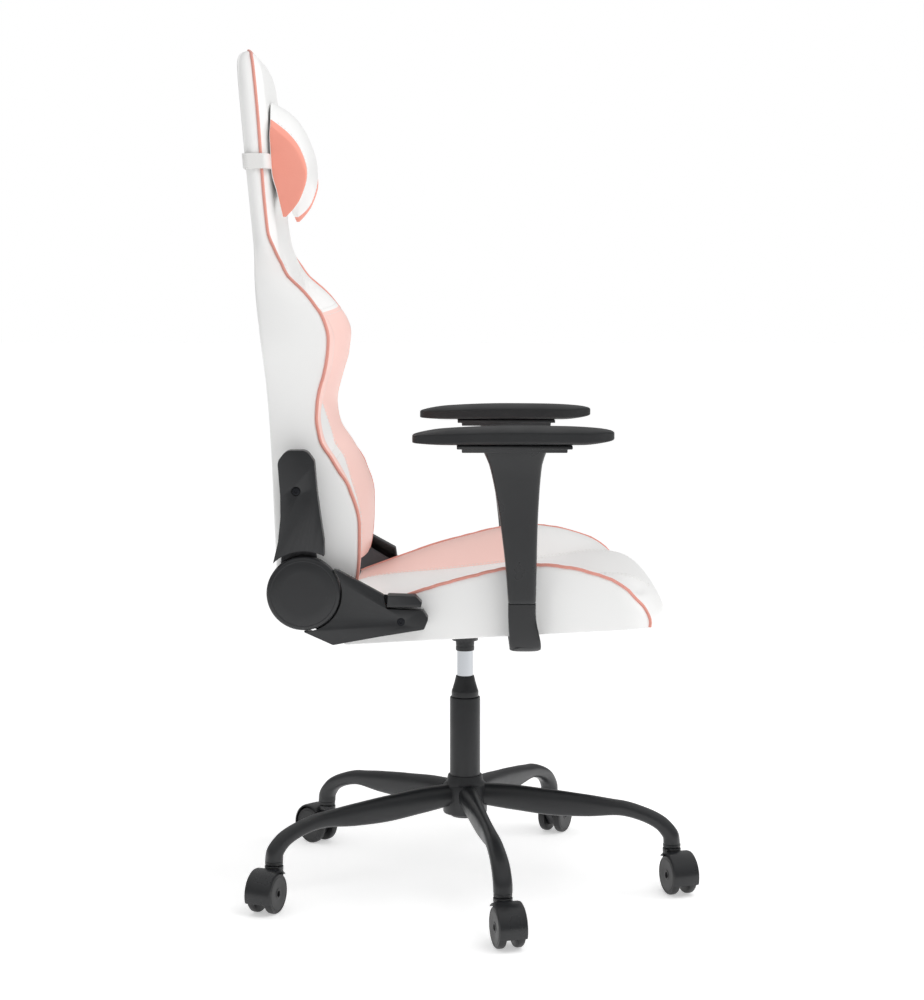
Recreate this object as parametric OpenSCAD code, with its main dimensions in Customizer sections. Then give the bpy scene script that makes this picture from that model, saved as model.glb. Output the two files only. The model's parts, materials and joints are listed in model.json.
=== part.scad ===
// Swivel gaming chair: five-leg steel base on twin-wheel casters, gas lift, seat with fixed
// armrests, and a tall racing-style backrest that reclines on side hinges.
// Units are millimetres. +Z is up, the chair faces -Y, and the sitter's right hand is at -X.
// Side views are drawn as [forward of the gas lift's axis, height above the floor].

/* [Place of the gas lift] */
// Sideways place of the gas lift's axis
column_x = 15; // [5:1:25]
// Fore-and-aft place of the gas lift's axis
column_y = 12; // [2:1:22]

/* [Base] */
// Distance from the gas lift's axis to each caster stem
base_radius = 320; // [300:5:340]
// Turn of the first leg, from straight sideways towards the front
base_turn = 9.5; // [0:0.5:20]
// Height of the hub's top face
hub_top = 155; // [150:1:160]
// Height of the hub's bottom face
hub_bottom = 109; // [105:1:112]
// Outer radius of the hub
hub_r = 34; // [32:1:38]
// Height at which each leg ends above its caster
leg_end = 72; // [70:1:74]

/* [Casters] */
// Radius of a caster wheel
wheel_r = 30; // [28:0.5:30]
// Thickness of one caster wheel
wheel_w = 12; // [10:0.5:12]
// Trail from the stem to the axle
trail = 24; // [22:1:26]
// Radius of a caster's stem
stem_r = 5.5; // [5:0.1:5.6]

/* [Gas lift] */
// Outer radius of the fixed outer tube
outer_tube_r = 23.4; // [22:0.1:25]
// Height of the outer tube's top
outer_tube_top = 291; // [285:1:295]
// Radius of the sliding chrome tube
piston_r = 12.3; // [11.5:0.1:13]
// Height of the black collar's lower end
collar_low = 363; // [360:1:366]
// Height of the black collar's upper end, where the seat's socket starts
collar_high = 379; // [377:1:381]

/* [Seat] */
// Half of the seat's width
seat_half = 255; // [250:1:256]
// Slope of the seat's underside, rising towards the front
seat_tilt = 3.05; // [2.9:0.05:3.2]
// Height of the seat's underside at the gas lift's axis
seat_floor = 422.8; // [422:0.1:423.5]
// Distance of the seat's rear face behind the gas lift's axis
seat_rear = 150; // [146:1:152]

/* [Backrest] */
// Forward place of the recline hinge, negative because it is behind the gas lift
pivot_f = -227; // [-229:1:-225]
// Height of the recline hinge
pivot_z = 492; // [490:1:494]
// Radius of each hinge pin
pin_r = 8; // [7:0.5:9]
// Radius of the round cap over each hinge
cap_r = 52; // [50:1:53]
// Lean of the head section away from upright
head_lean = 5.2; // [5.2:0.1:5.3]

/* [Armrests] */
// Distance from the middle of the chair to the middle of each armrest
arm_x = 283; // [282:1:285]
// Half of an armrest pad's width
pad_half = 45; // [40:1:45]
// Forward place of a pad's rear end
pad_rear = -74; // [-80:1:-70]
// Forward place of a pad's front end
pad_front = 207; // [200:1:210]

/* [Hidden] */

$fn = 64;
arc_steps = 5;
leg_count = 5;
fit = 0.05;      // radial running clearance of every pin in its hole
slack = 0.02;    // radial clearance of fixed pieces that are pressed together

// Heading of each caster, the direction in which its wheels trail from the stem
caster_heading = [195, 199, 333.5, 45.5, 158];
neck_r = 10;
neck_top = 66;
stem_low = 38;
socket_depth = 26;
core_half = 7;         // half width of a caster's middle body
axle_r = 4;
caster_half = 20;      // half width of a caster over both wheels

cylinder_floor = 104;
bush_low = 255;
piston_low = 178;
pin_top = 417.6;
lever_pivot_x = 41;
lever_pivot_z = 407;
finger_gap = 0.5;       // between the lever's finger and the release pin

rail_x = 225;
rail_half = 10;
rail_high = 21;
cross_front = 85;      // forward place of the front cross plate's middle
cross_rear = -75;      // forward place of the rear cross plate's middle
plate_x = 256;         // inner face of the seat's hinge plates
plate_t = 4;
plate_gap = 0.4;
back_plate_x = plate_x + plate_t + plate_gap;
lever_x = back_plate_x + plate_t + plate_gap;
lever_t = 3;
cover_x = 258;
cover_out = 286;
cover_wall = 2.5;
cap_x = 268.4;
cap_out = 291;

// ---------- outlines ----------

function unit(v) = v / norm(v);
function turned(v, a) = [v[0] * cos(a) - v[1] * sin(a), v[0] * sin(a) + v[1] * cos(a)];
function flat(p) = [p[0], p[1]];

// Arc that replaces corner b between its neighbours a and c; b[2] is the corner's radius
function corner(a, b, c) =
    b[2] == 0 ? [flat(b)] :
    let (p = flat(b), u = unit(flat(a) - p), v = unit(flat(c) - p),
         half = acos(u * v) / 2,
         centre = p + unit(u + v) * b[2] / sin(half),
         s = p + u * b[2] / tan(half) - centre,
         e = p + v * b[2] / tan(half) - centre,
         sweep = sign(cross(s, e)) * acos(unit(s) * unit(e)))
    [for (k = [0 : arc_steps]) centre + turned(s, sweep * k / arc_steps)];

// Closed outline of [x, y, radius] corners
function rounded(pts) =
    let (n = len(pts))
    [for (i = [0 : n - 1]) each corner(pts[(i + n - 1) % n], pts[i], pts[(i + 1) % n])];

// Outline moved inwards by d; its points run anticlockwise
function inset(pts, d) =
    let (n = len(pts))
    [for (i = [0 : n - 1])
        let (p = pts[i], u = unit(p - pts[(i + n - 1) % n]), v = unit(pts[(i + 1) % n] - p),
             left = [-u[1] - v[1], u[0] + v[0]])
        p + left * d / (1 + u * v)];

// Smooth open curve through points, steps pieces to each span
function span_point(a, b, c, d, t) =
    0.5 * (2 * b + (c - a) * t + (2 * a - 5 * b + 4 * c - d) * t * t
           + (3 * b - a - 3 * c + d) * t * t * t);
function smooth(pts, steps) =
    let (n = len(pts) - 1)
    concat([for (i = [0 : n - 1], k = [0 : steps - 1])
        span_point(pts[max(i - 1, 0)], pts[i], pts[i + 1], pts[min(i + 2, n)], k / steps)],
        [pts[n]]);

// Side views are drawn as [forward, up]; this turns them to [back, up] for across()
function from_front(pts) = [for (p = pts) [-p[0], p[1]]];

// ---------- placing ----------

module at_column() translate([column_x, column_y, 0]) children();

// Extrudes a side view of [forward, up] points from x0 to x1
module across(pts, x0, x1)
    translate([x0, 0, 0]) rotate([90, 0, 90]) linear_extrude(x1 - x0) polygon(from_front(pts));

// Extrudes a front view, drawn as [x, up], from forward place f0 to f1
module along(f0, f1)
    translate([0, -f0, 0]) rotate([90, 0, 0]) linear_extrude(f1 - f0) children();

// Cylinder across the chair
module cross_pin(f, z, r, x0, x1)
    translate([x0, -f, z]) rotate([0, 90, 0]) cylinder(h = x1 - x0, r = r);

// Everything that is parallel to the seat's underside; local z = 0 is that underside
module on_seat() translate([0, 0, seat_floor]) rotate([-seat_tilt, 0, 0]) children();

module side(right) {
    if (right) mirror([1, 0, 0]) children();
    else children();
}

// ---------- base ----------

function leg_angle(i) = 180 + base_turn + 72 * i;

module at_leg(i) rotate(leg_angle(i)) children();

module at_stem(i) at_leg(i) translate([base_radius, 0, 0]) children();

module base_hub() color("#37383a") at_column() difference() {
    union() {
        translate([0, 0, hub_bottom]) cylinder(h = hub_top - hub_bottom, r = hub_r);
        translate([0, 0, hub_top]) rotate_extrude() polygon([[0, 0], [hub_r - 3, 0],
            [outer_tube_r + 3, 12], [outer_tube_r + 3, 14], [0, 14]]);
    }
    translate([0, 0, hub_bottom - 1]) cylinder(h = 80, r = outer_tube_r + slack);
}

// Middle line of a leg as [distance from the gas lift's axis, height]
leg_line = smooth([[33.5, 139], [78, 135], [130, 129.5], [190, 126], [238, 124.5], [278, 114],
                   [306, 96], [base_radius, leg_end]], 2);
// Half height and half width of the leg's section along that line
leg_sizes = smooth([[17, 15], [19.5, 13], [20, 11], [17, 10], [12, 11], [10.5, 12.5],
                    [10.8, 14], [11, 14.5]], 2);
leg_sides = 20;

function leg_way(i) =
    i == 0 ? [1, -0.08] :
    i == len(leg_line) - 1 ? [0, -1] : unit(leg_line[i + 1] - leg_line[i - 1]);

// Rounded-box section: a little squarer than an ellipse
function soft(v) = sign(v) * pow(abs(v), 0.85);
function leg_ring(i) =
    let (c = leg_line[i], w = leg_way(i), s = leg_sizes[i])
    [for (k = [0 : leg_sides - 1])
        let (a = 360 * k / leg_sides, up = s[0] * soft(cos(a)))
        [c[0] - w[1] * up, s[1] * soft(sin(a)), c[1] + w[0] * up]];

module leg_solid() {
    rings = len(leg_line);
    last = (rings - 1) * leg_sides;
    points = [for (i = [0 : rings - 1]) each leg_ring(i)];
    polyhedron(points, concat(
        [[for (k = [0 : leg_sides - 1]) k]],
        [for (i = [0 : rings - 2], k = [0 : leg_sides - 1])
            let (a = i * leg_sides + k, b = i * leg_sides + (k + 1) % leg_sides)
            [a, a + leg_sides, b + leg_sides, b]],
        [[for (k = [leg_sides - 1 : -1 : 0]) last + k]]));
}

module base_leg(i) color("#36373a") at_column() difference() {
    at_leg(i) leg_solid();
    at_stem(i) translate([0, 0, leg_end - 5]) cylinder(h = socket_depth + 5, r = 8.5 + slack);
    cylinder(h = 200, r = hub_r + slack);
}

module leg_sockets() color("#202123") at_column() for (i = [0 : leg_count - 1])
    at_stem(i) difference() {
        union() {
            translate([0, 0, leg_end - 4]) cylinder(h = 4, r = 11.5);
            translate([0, 0, leg_end]) cylinder(h = socket_depth - 1, r = 8.5);
        }
        translate([0, 0, leg_end - 5]) cylinder(h = socket_depth, r = stem_r + slack);
    }

module caster_stems() color("#8c8e92") at_column() for (i = [0 : leg_count - 1])
    at_stem(i) union() {
        translate([0, 0, stem_low]) cylinder(h = leg_end + 18 - stem_low, r = stem_r);
        translate([0, 0, neck_top + 0.3]) cylinder(h = 1.5, r = 8);
    }

// ---------- casters ----------

// Local frame: the stem's axis is z, and the wheels trail towards +x
module at_caster(i) at_column() at_stem(i) rotate(caster_heading[i] - leg_angle(i)) children();

module across_axle(r, y0, y1)
    translate([trail, y0, wheel_r]) rotate([-90, 0, 0]) cylinder(h = y1 - y0, r = r);

module caster_housing(i) color("#2b2c2e") at_caster(i) difference() {
    union() {
        // middle body between the wheels, up to the stem's neck
        intersection() {
            union() {
                across_axle(wheel_r - 4, -core_half, core_half);
                translate([-neck_r, -core_half, stem_low - 4])
                    cube([trail + neck_r, 2 * core_half, neck_top - stem_low - 6]);
            }
            translate([-neck_r, -core_half, 6]) cube([80, 2 * core_half, neck_top - 6]);
        }
        // hood over the wheels
        difference() {
            across_axle(wheel_r + 4, -caster_half, caster_half);
            across_axle(wheel_r + 1.2, -caster_half - 1, caster_half + 1);
            translate([trail - 60, -50, -10]) cube([120, 100, wheel_r + 6]);
            translate([trail + 16, -50, -10]) cube([60, 100, 80]);
        }
        // web that joins the hood to the middle body
        intersection() {
            across_axle(wheel_r + 2, -core_half, core_half);
            translate([-20, -core_half, wheel_r + 4]) cube([trail + 32, 2 * core_half, 40]);
        }
        translate([0, 0, wheel_r + 26]) cylinder(h = neck_top - wheel_r - 26, r = neck_r);
        across_axle(axle_r, -caster_half + 1, caster_half - 1);
    }
    translate([0, 0, stem_low - 1]) cylinder(h = 60, r = stem_r + fit);
}

module caster_wheel(i, outer_sign) color("#3a3b3d") at_caster(i)
    mirror([0, outer_sign < 0 ? 1 : 0, 0]) difference() {
        across_axle(wheel_r, core_half + 0.6, core_half + 0.6 + wheel_w);
        across_axle(wheel_r - 6, core_half + wheel_w - 2.4, core_half + wheel_w + 5);
        across_axle(axle_r + fit, 0, caster_half + 5);
    }

// ---------- gas lift ----------

module gas_cylinder() color("#333436") at_column() difference() {
    translate([0, 0, cylinder_floor]) cylinder(h = outer_tube_top - cylinder_floor, r = outer_tube_r);
    translate([0, 0, cylinder_floor + 6])
        cylinder(h = bush_low - cylinder_floor - 6, r = outer_tube_r - 2);
    translate([0, 0, cylinder_floor + 6]) cylinder(h = 300, r = piston_r + fit);
}

module cylinder_cap() color("#232426") at_column() difference() {
    translate([0, 0, outer_tube_top]) rotate_extrude()
        polygon([[0, 0], [20.8, 0], [20.8, 9], [20, 10.5], [14, 32], [13.2, 33], [0, 33]]);
    translate([0, 0, outer_tube_top - 1]) cylinder(h = 60, r = piston_r + 0.3);
}

module gas_piston() color("#c9ccd0") at_column() difference() {
    translate([0, 0, piston_low]) cylinder(h = 408 - piston_low, r = piston_r);
    translate([0, 0, piston_low + 190]) cylinder(h = 100, r = 4 + fit);
}

module piston_collar() color("#1f2022") at_column() difference() {
    translate([0, 0, collar_low]) cylinder(h = collar_high - collar_low, r = 14.2);
    translate([0, 0, collar_low - 1]) cylinder(h = 40, r = piston_r + slack);
}

module release_pin() color("#8c8e92") at_column()
    translate([0, 0, pin_top - 38]) cylinder(h = 38, r = 4);

// ---------- seat mechanism ----------

plate_f0 = cross_rear - 22;
plate_f1 = cross_front + 22;
bolt_f = [cross_rear, cross_front];
bolt_x = 60;
arm_bolt_x = [162, 188];  // bolts that hold each armrest bracket
tray_half = 50;
tray_z = 22;

module seat_plate() color("#2e2f31") at_column() difference() {
    union() {
        on_seat() difference() {
            union() {
                translate([-78, -plate_f1, -3]) cube([156, plate_f1 - plate_f0, 3]);
                translate([-tray_half, -62, -tray_z]) cube([2 * tray_half, 124, tray_z - 3]);
            }
            translate([-tray_half + 3, -59, -tray_z + 3]) cube([2 * tray_half - 6, 118, tray_z + 10]);
            // slot in the tray's side for the height lever
            translate([tray_half - 18, -11, -tray_z - 1]) cube([48, 22, tray_z - 2.5]);
            for (s = [-1, 1], f = bolt_f)
                translate([s * bolt_x, -f, -4]) cylinder(h = 5, r = 4 + slack);
        }
        translate([0, 0, collar_high]) cylinder(h = 404 - collar_high, r = 20);
        // two ears that carry the lever's trunnions
        for (s = [-1, 1]) translate([lever_pivot_x - 4, s * 13 - 2, lever_pivot_z - 5.8])
            cube([10, 4, 12]);
    }
    translate([0, 0, collar_high - 1]) cylinder(h = 60, r = piston_r + fit);
    translate([lever_pivot_x, -20, lever_pivot_z]) rotate([-90, 0, 0])
        cylinder(h = 40, r = 3 + fit);
}

// Round bolt from below: head under local z0, shank up to local z1
module bolt(x, f, z0, z1) translate([x, -f, 0]) union() {
    translate([0, 0, z0 - 5]) cylinder(h = 5, r = 6.5);
    translate([0, 0, z0]) cylinder(h = z1 - z0, r = 4);
}

module seat_bolts() color("#8c8e92") at_column() on_seat() {
    for (s = [-1, 1], f = bolt_f) bolt(s * bolt_x, f, -3, 15);
    for (s = [-1, 1], x = arm_bolt_x) bolt(s * x, cross_front, -18, 15);
}

// Lever's own frame: the trunnion's axis is y through the origin
lever_drop = 7;        // slope of the height lever's rod, down towards its grip
module at_lever() at_column() translate([lever_pivot_x, 0, lever_pivot_z]) children();

module height_lever() color("#77797d") at_lever() union() {
    translate([0, -18, 0]) rotate([-90, 0, 0]) cylinder(h = 36, r = 3);
    translate([0, -8, 0]) rotate([-90, 0, 0]) cylinder(h = 16, r = 6);
    // finger that reaches over the release pin
    translate([-48, -5, pin_top + finger_gap - lever_pivot_z]) cube([48, 10, 3]);
    translate([-6, -5, 0]) cube([6, 10, pin_top + finger_gap + 3 - lever_pivot_z]);
    rotate([0, 90 + lever_drop, 0]) cylinder(h = 196, r = 4);
}

module height_lever_grip() color("#202123") at_lever() rotate([0, 90 + lever_drop, 0]) difference() {
    translate([0, 0, 160]) rotate_extrude() polygon([[0, 0], [7, 0], [9, 3], [10, 30],
        [9.5, 62], [7, 67], [0, 68]]);
    translate([0, 0, 159]) cylinder(h = 37, r = 4 + slack);
}

// ---------- seat ----------

module seat_frame() color("#4a4b4e") at_column() on_seat() difference() {
    union() {
        for (s = [-1, 1]) translate([s * rail_x - rail_half, -215, 1])
            cube([2 * rail_half, 345, rail_high - 1]);
        translate([-rail_x, -215, 1]) cube([2 * rail_x, 20, rail_high - 1]);
        translate([-rail_x, 110, 1]) cube([2 * rail_x, 20, rail_high - 1]);
        for (f = [cross_rear, cross_front]) translate([-rail_x, -f - 20, 0])
            cube([2 * rail_x, 40, rail_high - 1]);
    }
    for (s = [-1, 1], f = bolt_f) translate([s * bolt_x, -f, -1]) cylinder(h = 17, r = 4 + slack);
    for (s = [-1, 1], x = arm_bolt_x)
        translate([s * x, -cross_front, -1]) cylinder(h = 17, r = 4 + slack);
}

module seat_webbing() color("#26272a") at_column() on_seat()
    for (i = [0 : 4]) translate([-rail_x + 2, -186 + 64 * i, rail_high])
        cube([2 * rail_x - 4, 48, 2]);

function floor_at(f) = seat_floor + f * tan(seat_tilt);

seat_nose = 288;
// Crest of the side bolsters and of the middle of the seat
bolster_top = smooth([[-seat_rear, 470], [-98, 487], [-43, 506], [12, 521], [53, 529], [110, 532],
                      [165, 524], [212, 508], [238, 490], [258, 464]], 3);
middle_top = smooth([[-seat_rear, 460], [-80, 468], [0, 477], [80, 487], [160, 498],
                     [225, 506], [262, 494], [286, 470], [298, 444]], 3);

function seat_side(top, nose) = concat([[-seat_rear, floor_at(-seat_rear)],
    [nose, floor_at(nose)], [nose + 7, floor_at(nose) + 5]],
    [for (i = [len(top) - 1 : -1 : 0]) top[i]]);

seat_plan = rounded([[seat_half, -seat_rear, 12], [seat_half, 268, 44], [180, 300, 120],
                     [-180, 300, 120], [-seat_half, 268, 44], [-seat_half, -seat_rear, 12]]);

module seat_cushion() color("#f1f1f0") at_column() intersection() {
    translate([0, 0, 380]) linear_extrude(200) polygon([for (p = seat_plan) [p[0], -p[1]]]);
    union() {
        across(seat_side(middle_top, seat_nose), -seat_half, seat_half);
        for (s = [-1, 1]) translate([s * 205, 0, 0])
            across(seat_side(bolster_top, 262), -50, 50);
    }
}

module seat_base_cloth() color("#1c1d1f") at_column() on_seat() difference() {
    translate([-212, -232, -1.22]) cube([424, 360, 1.2]);
    translate([-80, -plate_f1 - 2, -2]) cube([160, plate_f1 - plate_f0 + 4, 4]);
    for (s = [-1, 1]) translate([s * 175 - 40, -cross_front - 24, -2]) cube([80, 48, 4]);
}

// ---------- armrests ----------

bracket_f0 = 62;
bracket_f1 = 104;
post_low = 479;

module armrest_bracket(right) color("#1d1e20") at_column() side(right) union() {
    on_seat() intersection() {
        union() {
            // arm under the seat, with a raised pad on the cross plate
            translate([140, -bracket_f1, -18]) cube([arm_x + 8 - 160, bracket_f1 - bracket_f0, 10]);
            translate([150, -bracket_f1, -18]) cube([50, bracket_f1 - bracket_f0, 18]);
            // upturned bar beside the seat
            along(bracket_f0, bracket_f1) polygon(rounded([[230, -18, 0], [arm_x + 7, -18, 14],
                [arm_x + 7, 48, 0], [arm_x - 7, 48, 0], [arm_x - 7, -8, 4], [230, -8, 0]]));
        }
        difference() {
            translate([0, -200, -30]) cube([400, 400, 100]);
            for (x = arm_bolt_x) translate([x, -cross_front, -40]) cylinder(h = 60, r = 4 + slack);
        }
    }
    translate([arm_x - 5, -96, post_low - 12]) cube([10, 32, 82]);
}

post_side = rounded([[60, post_low, 2], [50, 582, 40], [43, 627, 60], [33, 673, 30], [24, 692, 0],
    [114, 692, 0], [106, 673, 30], [103, 627, 60], [101, 582, 40], [99, post_low, 2]]);
post_front = rounded([[-14, post_low - 1, 0], [14, post_low - 1, 0], [15, 600, 60], [22, 693, 0],
    [-22, 693, 0], [-15, 600, 60]]);

module armrest_post(right) color("#313234") at_column() side(right) difference() {
    intersection() {
        across(post_side, arm_x - 30, arm_x + 30);
        translate([arm_x, 0, 0]) along(0, 140) polygon(post_front);
    }
    translate([arm_x - 5.1, -96.1, post_low - 2]) cube([10.2, 32.2, 72.1]);
}

module armrest_plates() color("#27282a") at_column() for (right = [true, false]) side(right) union() {
    translate([arm_x - 32, -141, 692]) cube([64, 146, 5]);
    translate([arm_x - 36, -148, 697]) cube([72, 160, 5]);
}

pad_side = smooth([[pad_rear, 709], [pad_rear + 8, 716], [-30, 723], [60, 726.5], [140, 725.5],
                   [pad_front - 12, 722], [pad_front, 716]], 3);

module armrest_pad(right) color("#2d2e30") at_column() side(right) intersection() {
    across(concat(pad_side, [[pad_front, 711], [160, 702], [-25, 702], [pad_rear, 706]]),
        arm_x - pad_half, arm_x + pad_half);
    translate([arm_x, 0, 690]) linear_extrude(60) polygon(rounded([
        [-pad_half, -pad_rear, 34], [-pad_half, -pad_front, 40],
        [pad_half, -pad_front, 40], [pad_half, -pad_rear, 34]]));
}

// ---------- backrest ----------

// Rear face of the backrest from the bottom up, and the front of its middle and its bolsters
back_rear = [[-269, 500], [-270, 562], [-280, 760], [-299, 937], [-305.2, 985], [-326.9, 1225],
             [-330, 1250]];
back_middle = smooth([[-166, 500], [-168, 545], [-180, 600], [-205, 680], [-222, 760],
                      [-231, 850], [-244, 920], [-264, 965], [-271.2, 985]], 2);
head_front = [[-271.2, 985], [-293, 1225], [-302, 1252]];
back_bolster = smooth([[-156, 500], [-150, 545], [-148, 585], [-160, 630], [-182, 672],
                       [-204, 712], [-207, 740], [-200, 775], [-189, 815], [-184, 850],
                       [-192, 875], [-222, 910], [-256, 941], [-272, 985]], 2);

// Half width of the backrest against height
back_width = smooth([[238, 480], [246, 540], [248, 590], [240, 660], [234, 730], [243, 790],
                     [256, 845], [248, 895], [218, 932], [176, 960], [152, 985], [147, 1040]], 2);
back_outline = concat(back_width, rounded([[147, 1180, 0], [134, 1268, 60], [-134, 1268, 60],
    [-147, 1180, 0]]), [for (i = [len(back_width) - 1 : -1 : 0])
    [-back_width[i][0], back_width[i][1]]]);

module back_cushion() color("#f2f2f1") at_column() intersection() {
    along(-360, -100) polygon(back_outline);
    union() {
        across(concat(back_rear, [[-320, 1268], [-311, 1266]],
            [for (i = [2 : -1 : 0]) head_front[i]],
            [for (i = [len(back_middle) - 2 : -1 : 0]) back_middle[i]],
            [[-190, 484], [-250, 484]]), -260, 260);
        for (s = [-1, 1]) translate([s * 195, 0, 0])
            across(concat([for (i = [0 : 4]) back_rear[i]],
                [for (i = [len(back_bolster) - 1 : -1 : 0]) back_bolster[i]],
                [[-185, 484], [-250, 484]]), -70, 70);
    }
}

upright_x = 212;
upright_r = 11;
// Place of the frame's uprights behind the gas lift, against height
function upright_y(z) = 238 + (z - 510) * 0.085;

module tube(a, b, r) {
    run = b - a;
    translate(a) rotate([0, acos(run[2] / norm(run)), atan2(run[1], run[0])])
        cylinder(h = norm(run), r = r);
}

module back_frame() color("#4a4b4e") at_column() union() {
    for (s = [-1, 1]) {
        tube([s * upright_x, upright_y(510), 510], [s * upright_x, upright_y(880), 880], upright_r);
        tube([s * 95, upright_y(872), 872], [s * 95, 306, 1215], 8);
    }
    for (z = [520, 872]) tube([-upright_x, upright_y(z), z], [upright_x, upright_y(z), z], upright_r - 1);
    tube([-95, 305, 1205], [95, 305, 1205], 7.5);
}

// ---------- hinge plates ----------

eye_r = 44;

module back_bracket(right) color("#2a2b2d") at_column() side(right) union() {
    difference() {
        union() {
            cross_pin(pivot_f, pivot_z, eye_r, back_plate_x, back_plate_x + plate_t);
            across(rounded([[-264, 490, 0], [-254, 600, 30], [-254, 672, 14], [-218, 672, 14],
                [-214, 600, 30], [-208, 520, 0]]), back_plate_x, back_plate_x + plate_t);
        }
        cross_pin(pivot_f, pivot_z, pin_r + fit, 200, 300);
    }
    // studs into the backrest's frame
    for (z = [575, 612, 655]) cross_pin(-upright_y(z), z, 5, upright_x + upright_r, back_plate_x);
}

lower_side = [[-228, 438], [-186, 419], [-120, 431], [-58, 441], [-52, 456], [-60, 468],
              [-111.5, 470], [-114.5, 489], [-178, 524], [-205, 530]];

module seat_bracket(right) color("#2a2b2d") at_column() side(right) difference() {
    union() {
        cross_pin(pivot_f, pivot_z, eye_r, plate_x, plate_x + plate_t);
        across(rounded([[-232, 450, 0], [-188, 424, 20], [-118, 435, 20], [-62, 446, 4],
            [-62, 464, 4], [-118, 468, 10], [-190, 512, 0]]), plate_x, plate_x + plate_t);
        for (f = [-80, -105, -124]) cross_pin(f, 449 + (f + 124) * 0.05, 5, rail_x + rail_half, plate_x);
    }
    cross_pin(pivot_f, pivot_z, pin_r + slack, 200, 300);
}

module hinge_pins() color("#8c8e92") at_column() for (right = [true, false]) side(right) union() {
    cross_pin(pivot_f, pivot_z, pin_r, plate_x - 2, 282);
    cross_pin(pivot_f, pivot_z, pin_r + 4, plate_x - 5, plate_x - 0.5);
}

module hinge_caps() color("#2c2d2f") at_column() for (right = [true, false]) side(right) difference() {
    translate([0, -pivot_f, pivot_z]) rotate([0, 90, 0]) rotate_extrude()
        polygon([[0, cap_x], [cap_r, cap_x], [cap_r, cap_out - 6], [cap_r - 1.5, cap_out - 2.5],
                 [cap_r - 5, cap_out - 0.8], [0, cap_out]]);
    difference() {
        cross_pin(pivot_f, pivot_z, cap_r - 3, cap_x - 1, cap_out - 5);
        cross_pin(pivot_f, pivot_z, pin_r + 5, cap_x - 2, cap_out);
    }
    cross_pin(pivot_f, pivot_z, pin_r + slack, 200, 283);
}

upper_side = rounded([[-198, 540, 0], [-198, 566, 20], [-203, 600, 40], [-208, 640, 40],
    [-211, 678, 10], [-222, 693, 12], [-250, 693, 14], [-262, 678, 16], [-258.5, 630, 40],
    [-258.5, 598, 40], [-262, 565, 40], [-270, 532, 0]]);
upper_screw = [-236.5, 636];
lower_screw = [-90.5, 452];

module cover_shell(pts) difference() {
    across(pts, cover_x, cover_out);
    across(inset(pts, cover_wall), cover_x - 1, cover_out - cover_wall);
}

module upper_cover(right) color("#2b2c2e") at_column() side(right) difference() {
    union() {
        cover_shell(upper_side);
        cross_pin(upper_screw[0], upper_screw[1], 9, back_plate_x + plate_t + 0.02, cover_out - 1);
    }
    cross_pin(pivot_f, pivot_z, 60, 200, 300);
    cross_pin(upper_screw[0], upper_screw[1], 3 + slack, 200, 300);
    cross_pin(upper_screw[0], upper_screw[1], 6.6, cover_out - 4, 300);
    // the steel arm passes through the lower rim
    across([[-262, 500], [-262, 575], [-206, 575], [-206, 500]], 200, back_plate_x + plate_t + 0.6);
}

module lower_cover(right) color("#2b2c2e") at_column() side(right) difference() {
    union() {
        cover_shell(rounded([for (p = lower_side) [p[0], p[1], 4]]));
        cross_pin(lower_screw[0], lower_screw[1], 8, plate_x + plate_t + 0.02, cover_out - 1);
    }
    cross_pin(pivot_f, pivot_z, cap_r + 2, 200, 300);
    cross_pin(lower_screw[0], lower_screw[1], 3 + slack, 200, 300);
    cross_pin(lower_screw[0], lower_screw[1], 5.6, cover_out - 4, 300);
    // slot along the sloping edge for the recline lever's strip
    if (right) across([[-230, 500], [-230, 560], [-60, 560], [-60, 460], [-104, 460], [-118, 470],
        [-150, 495]], 200, lever_x + lever_t + 0.6);
}

module cover_screw(p, x0, head_r) union() {
    cross_pin(p[0], p[1], 3, x0, cover_out - 4);
    cross_pin(p[0], p[1], head_r, cover_out - 4, cover_out - 1);
}

module upper_cover_screws() color("#17181a") at_column() for (right = [true, false]) side(right)
    cover_screw(upper_screw, back_plate_x + plate_t, 6.4);

module lower_cover_screws() color("#17181a") at_column() for (right = [true, false]) side(right)
    cover_screw(lower_screw, plate_x + plate_t, 5.4);

// ---------- recline lever, on the sitter's right ----------

grip_rear_r = 118;

module recline_lever() color("#242527") at_column() side(true) union() {
    difference() {
        union() {
            cross_pin(pivot_f, pivot_z, 18, lever_x, lever_x + lever_t);
            across([[-227, 500], [-106, 487.5], [-100, 487.5], [-100, 475], [-106, 475], [-227, 478]],
                lever_x, lever_x + lever_t);
        }
        cross_pin(pivot_f, pivot_z, pin_r + fit, 200, 300);
    }
    difference() {
        across(rounded([[-114, 473.2, 0], [-62, 473.2, 2], [-61, 479, 2], [-70, 488.5, 3],
            [-114, 490, 0]]), 261, 290);
        cross_pin(pivot_f, pivot_z, grip_rear_r, 200, 300);
    }
}

// ---------- headrest ----------

pillow_half = 130;
pillow_side = smooth([[-272.9, 1012], [-256, 1010], [-238, 1026], [-226, 1060], [-223, 1100],
    [-229, 1140], [-244, 1170], [-266, 1184], [-288.9, 1188]], 3);

module headrest_pillow() color("#f6baab") at_column() intersection() {
    across(pillow_side, -pillow_half, pillow_half);
    along(-360, -100) polygon(rounded([[-pillow_half, 1018, 20], [-60, 1030, 80], [60, 1030, 80],
        [pillow_half, 1018, 20], [pillow_half, 1150, 30], [60, 1188, 60], [-60, 1188, 60],
        [-pillow_half, 1150, 30]]));
}

strap_half = 148.6;

module pillow_strap() color("#ececea") at_column()
    translate([0, 315.8, 1100]) rotate([-head_lean, 0, 0]) difference() {
        translate([-strap_half - 1.8, -36, -11]) cube([2 * strap_half + 3.6, 39.4, 22]);
        translate([-strap_half, -34.7, -12]) cube([2 * strap_half, 36, 24]);
        translate([-pillow_half, -50, -12]) cube([2 * pillow_half, 20, 24]);
    }

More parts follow.
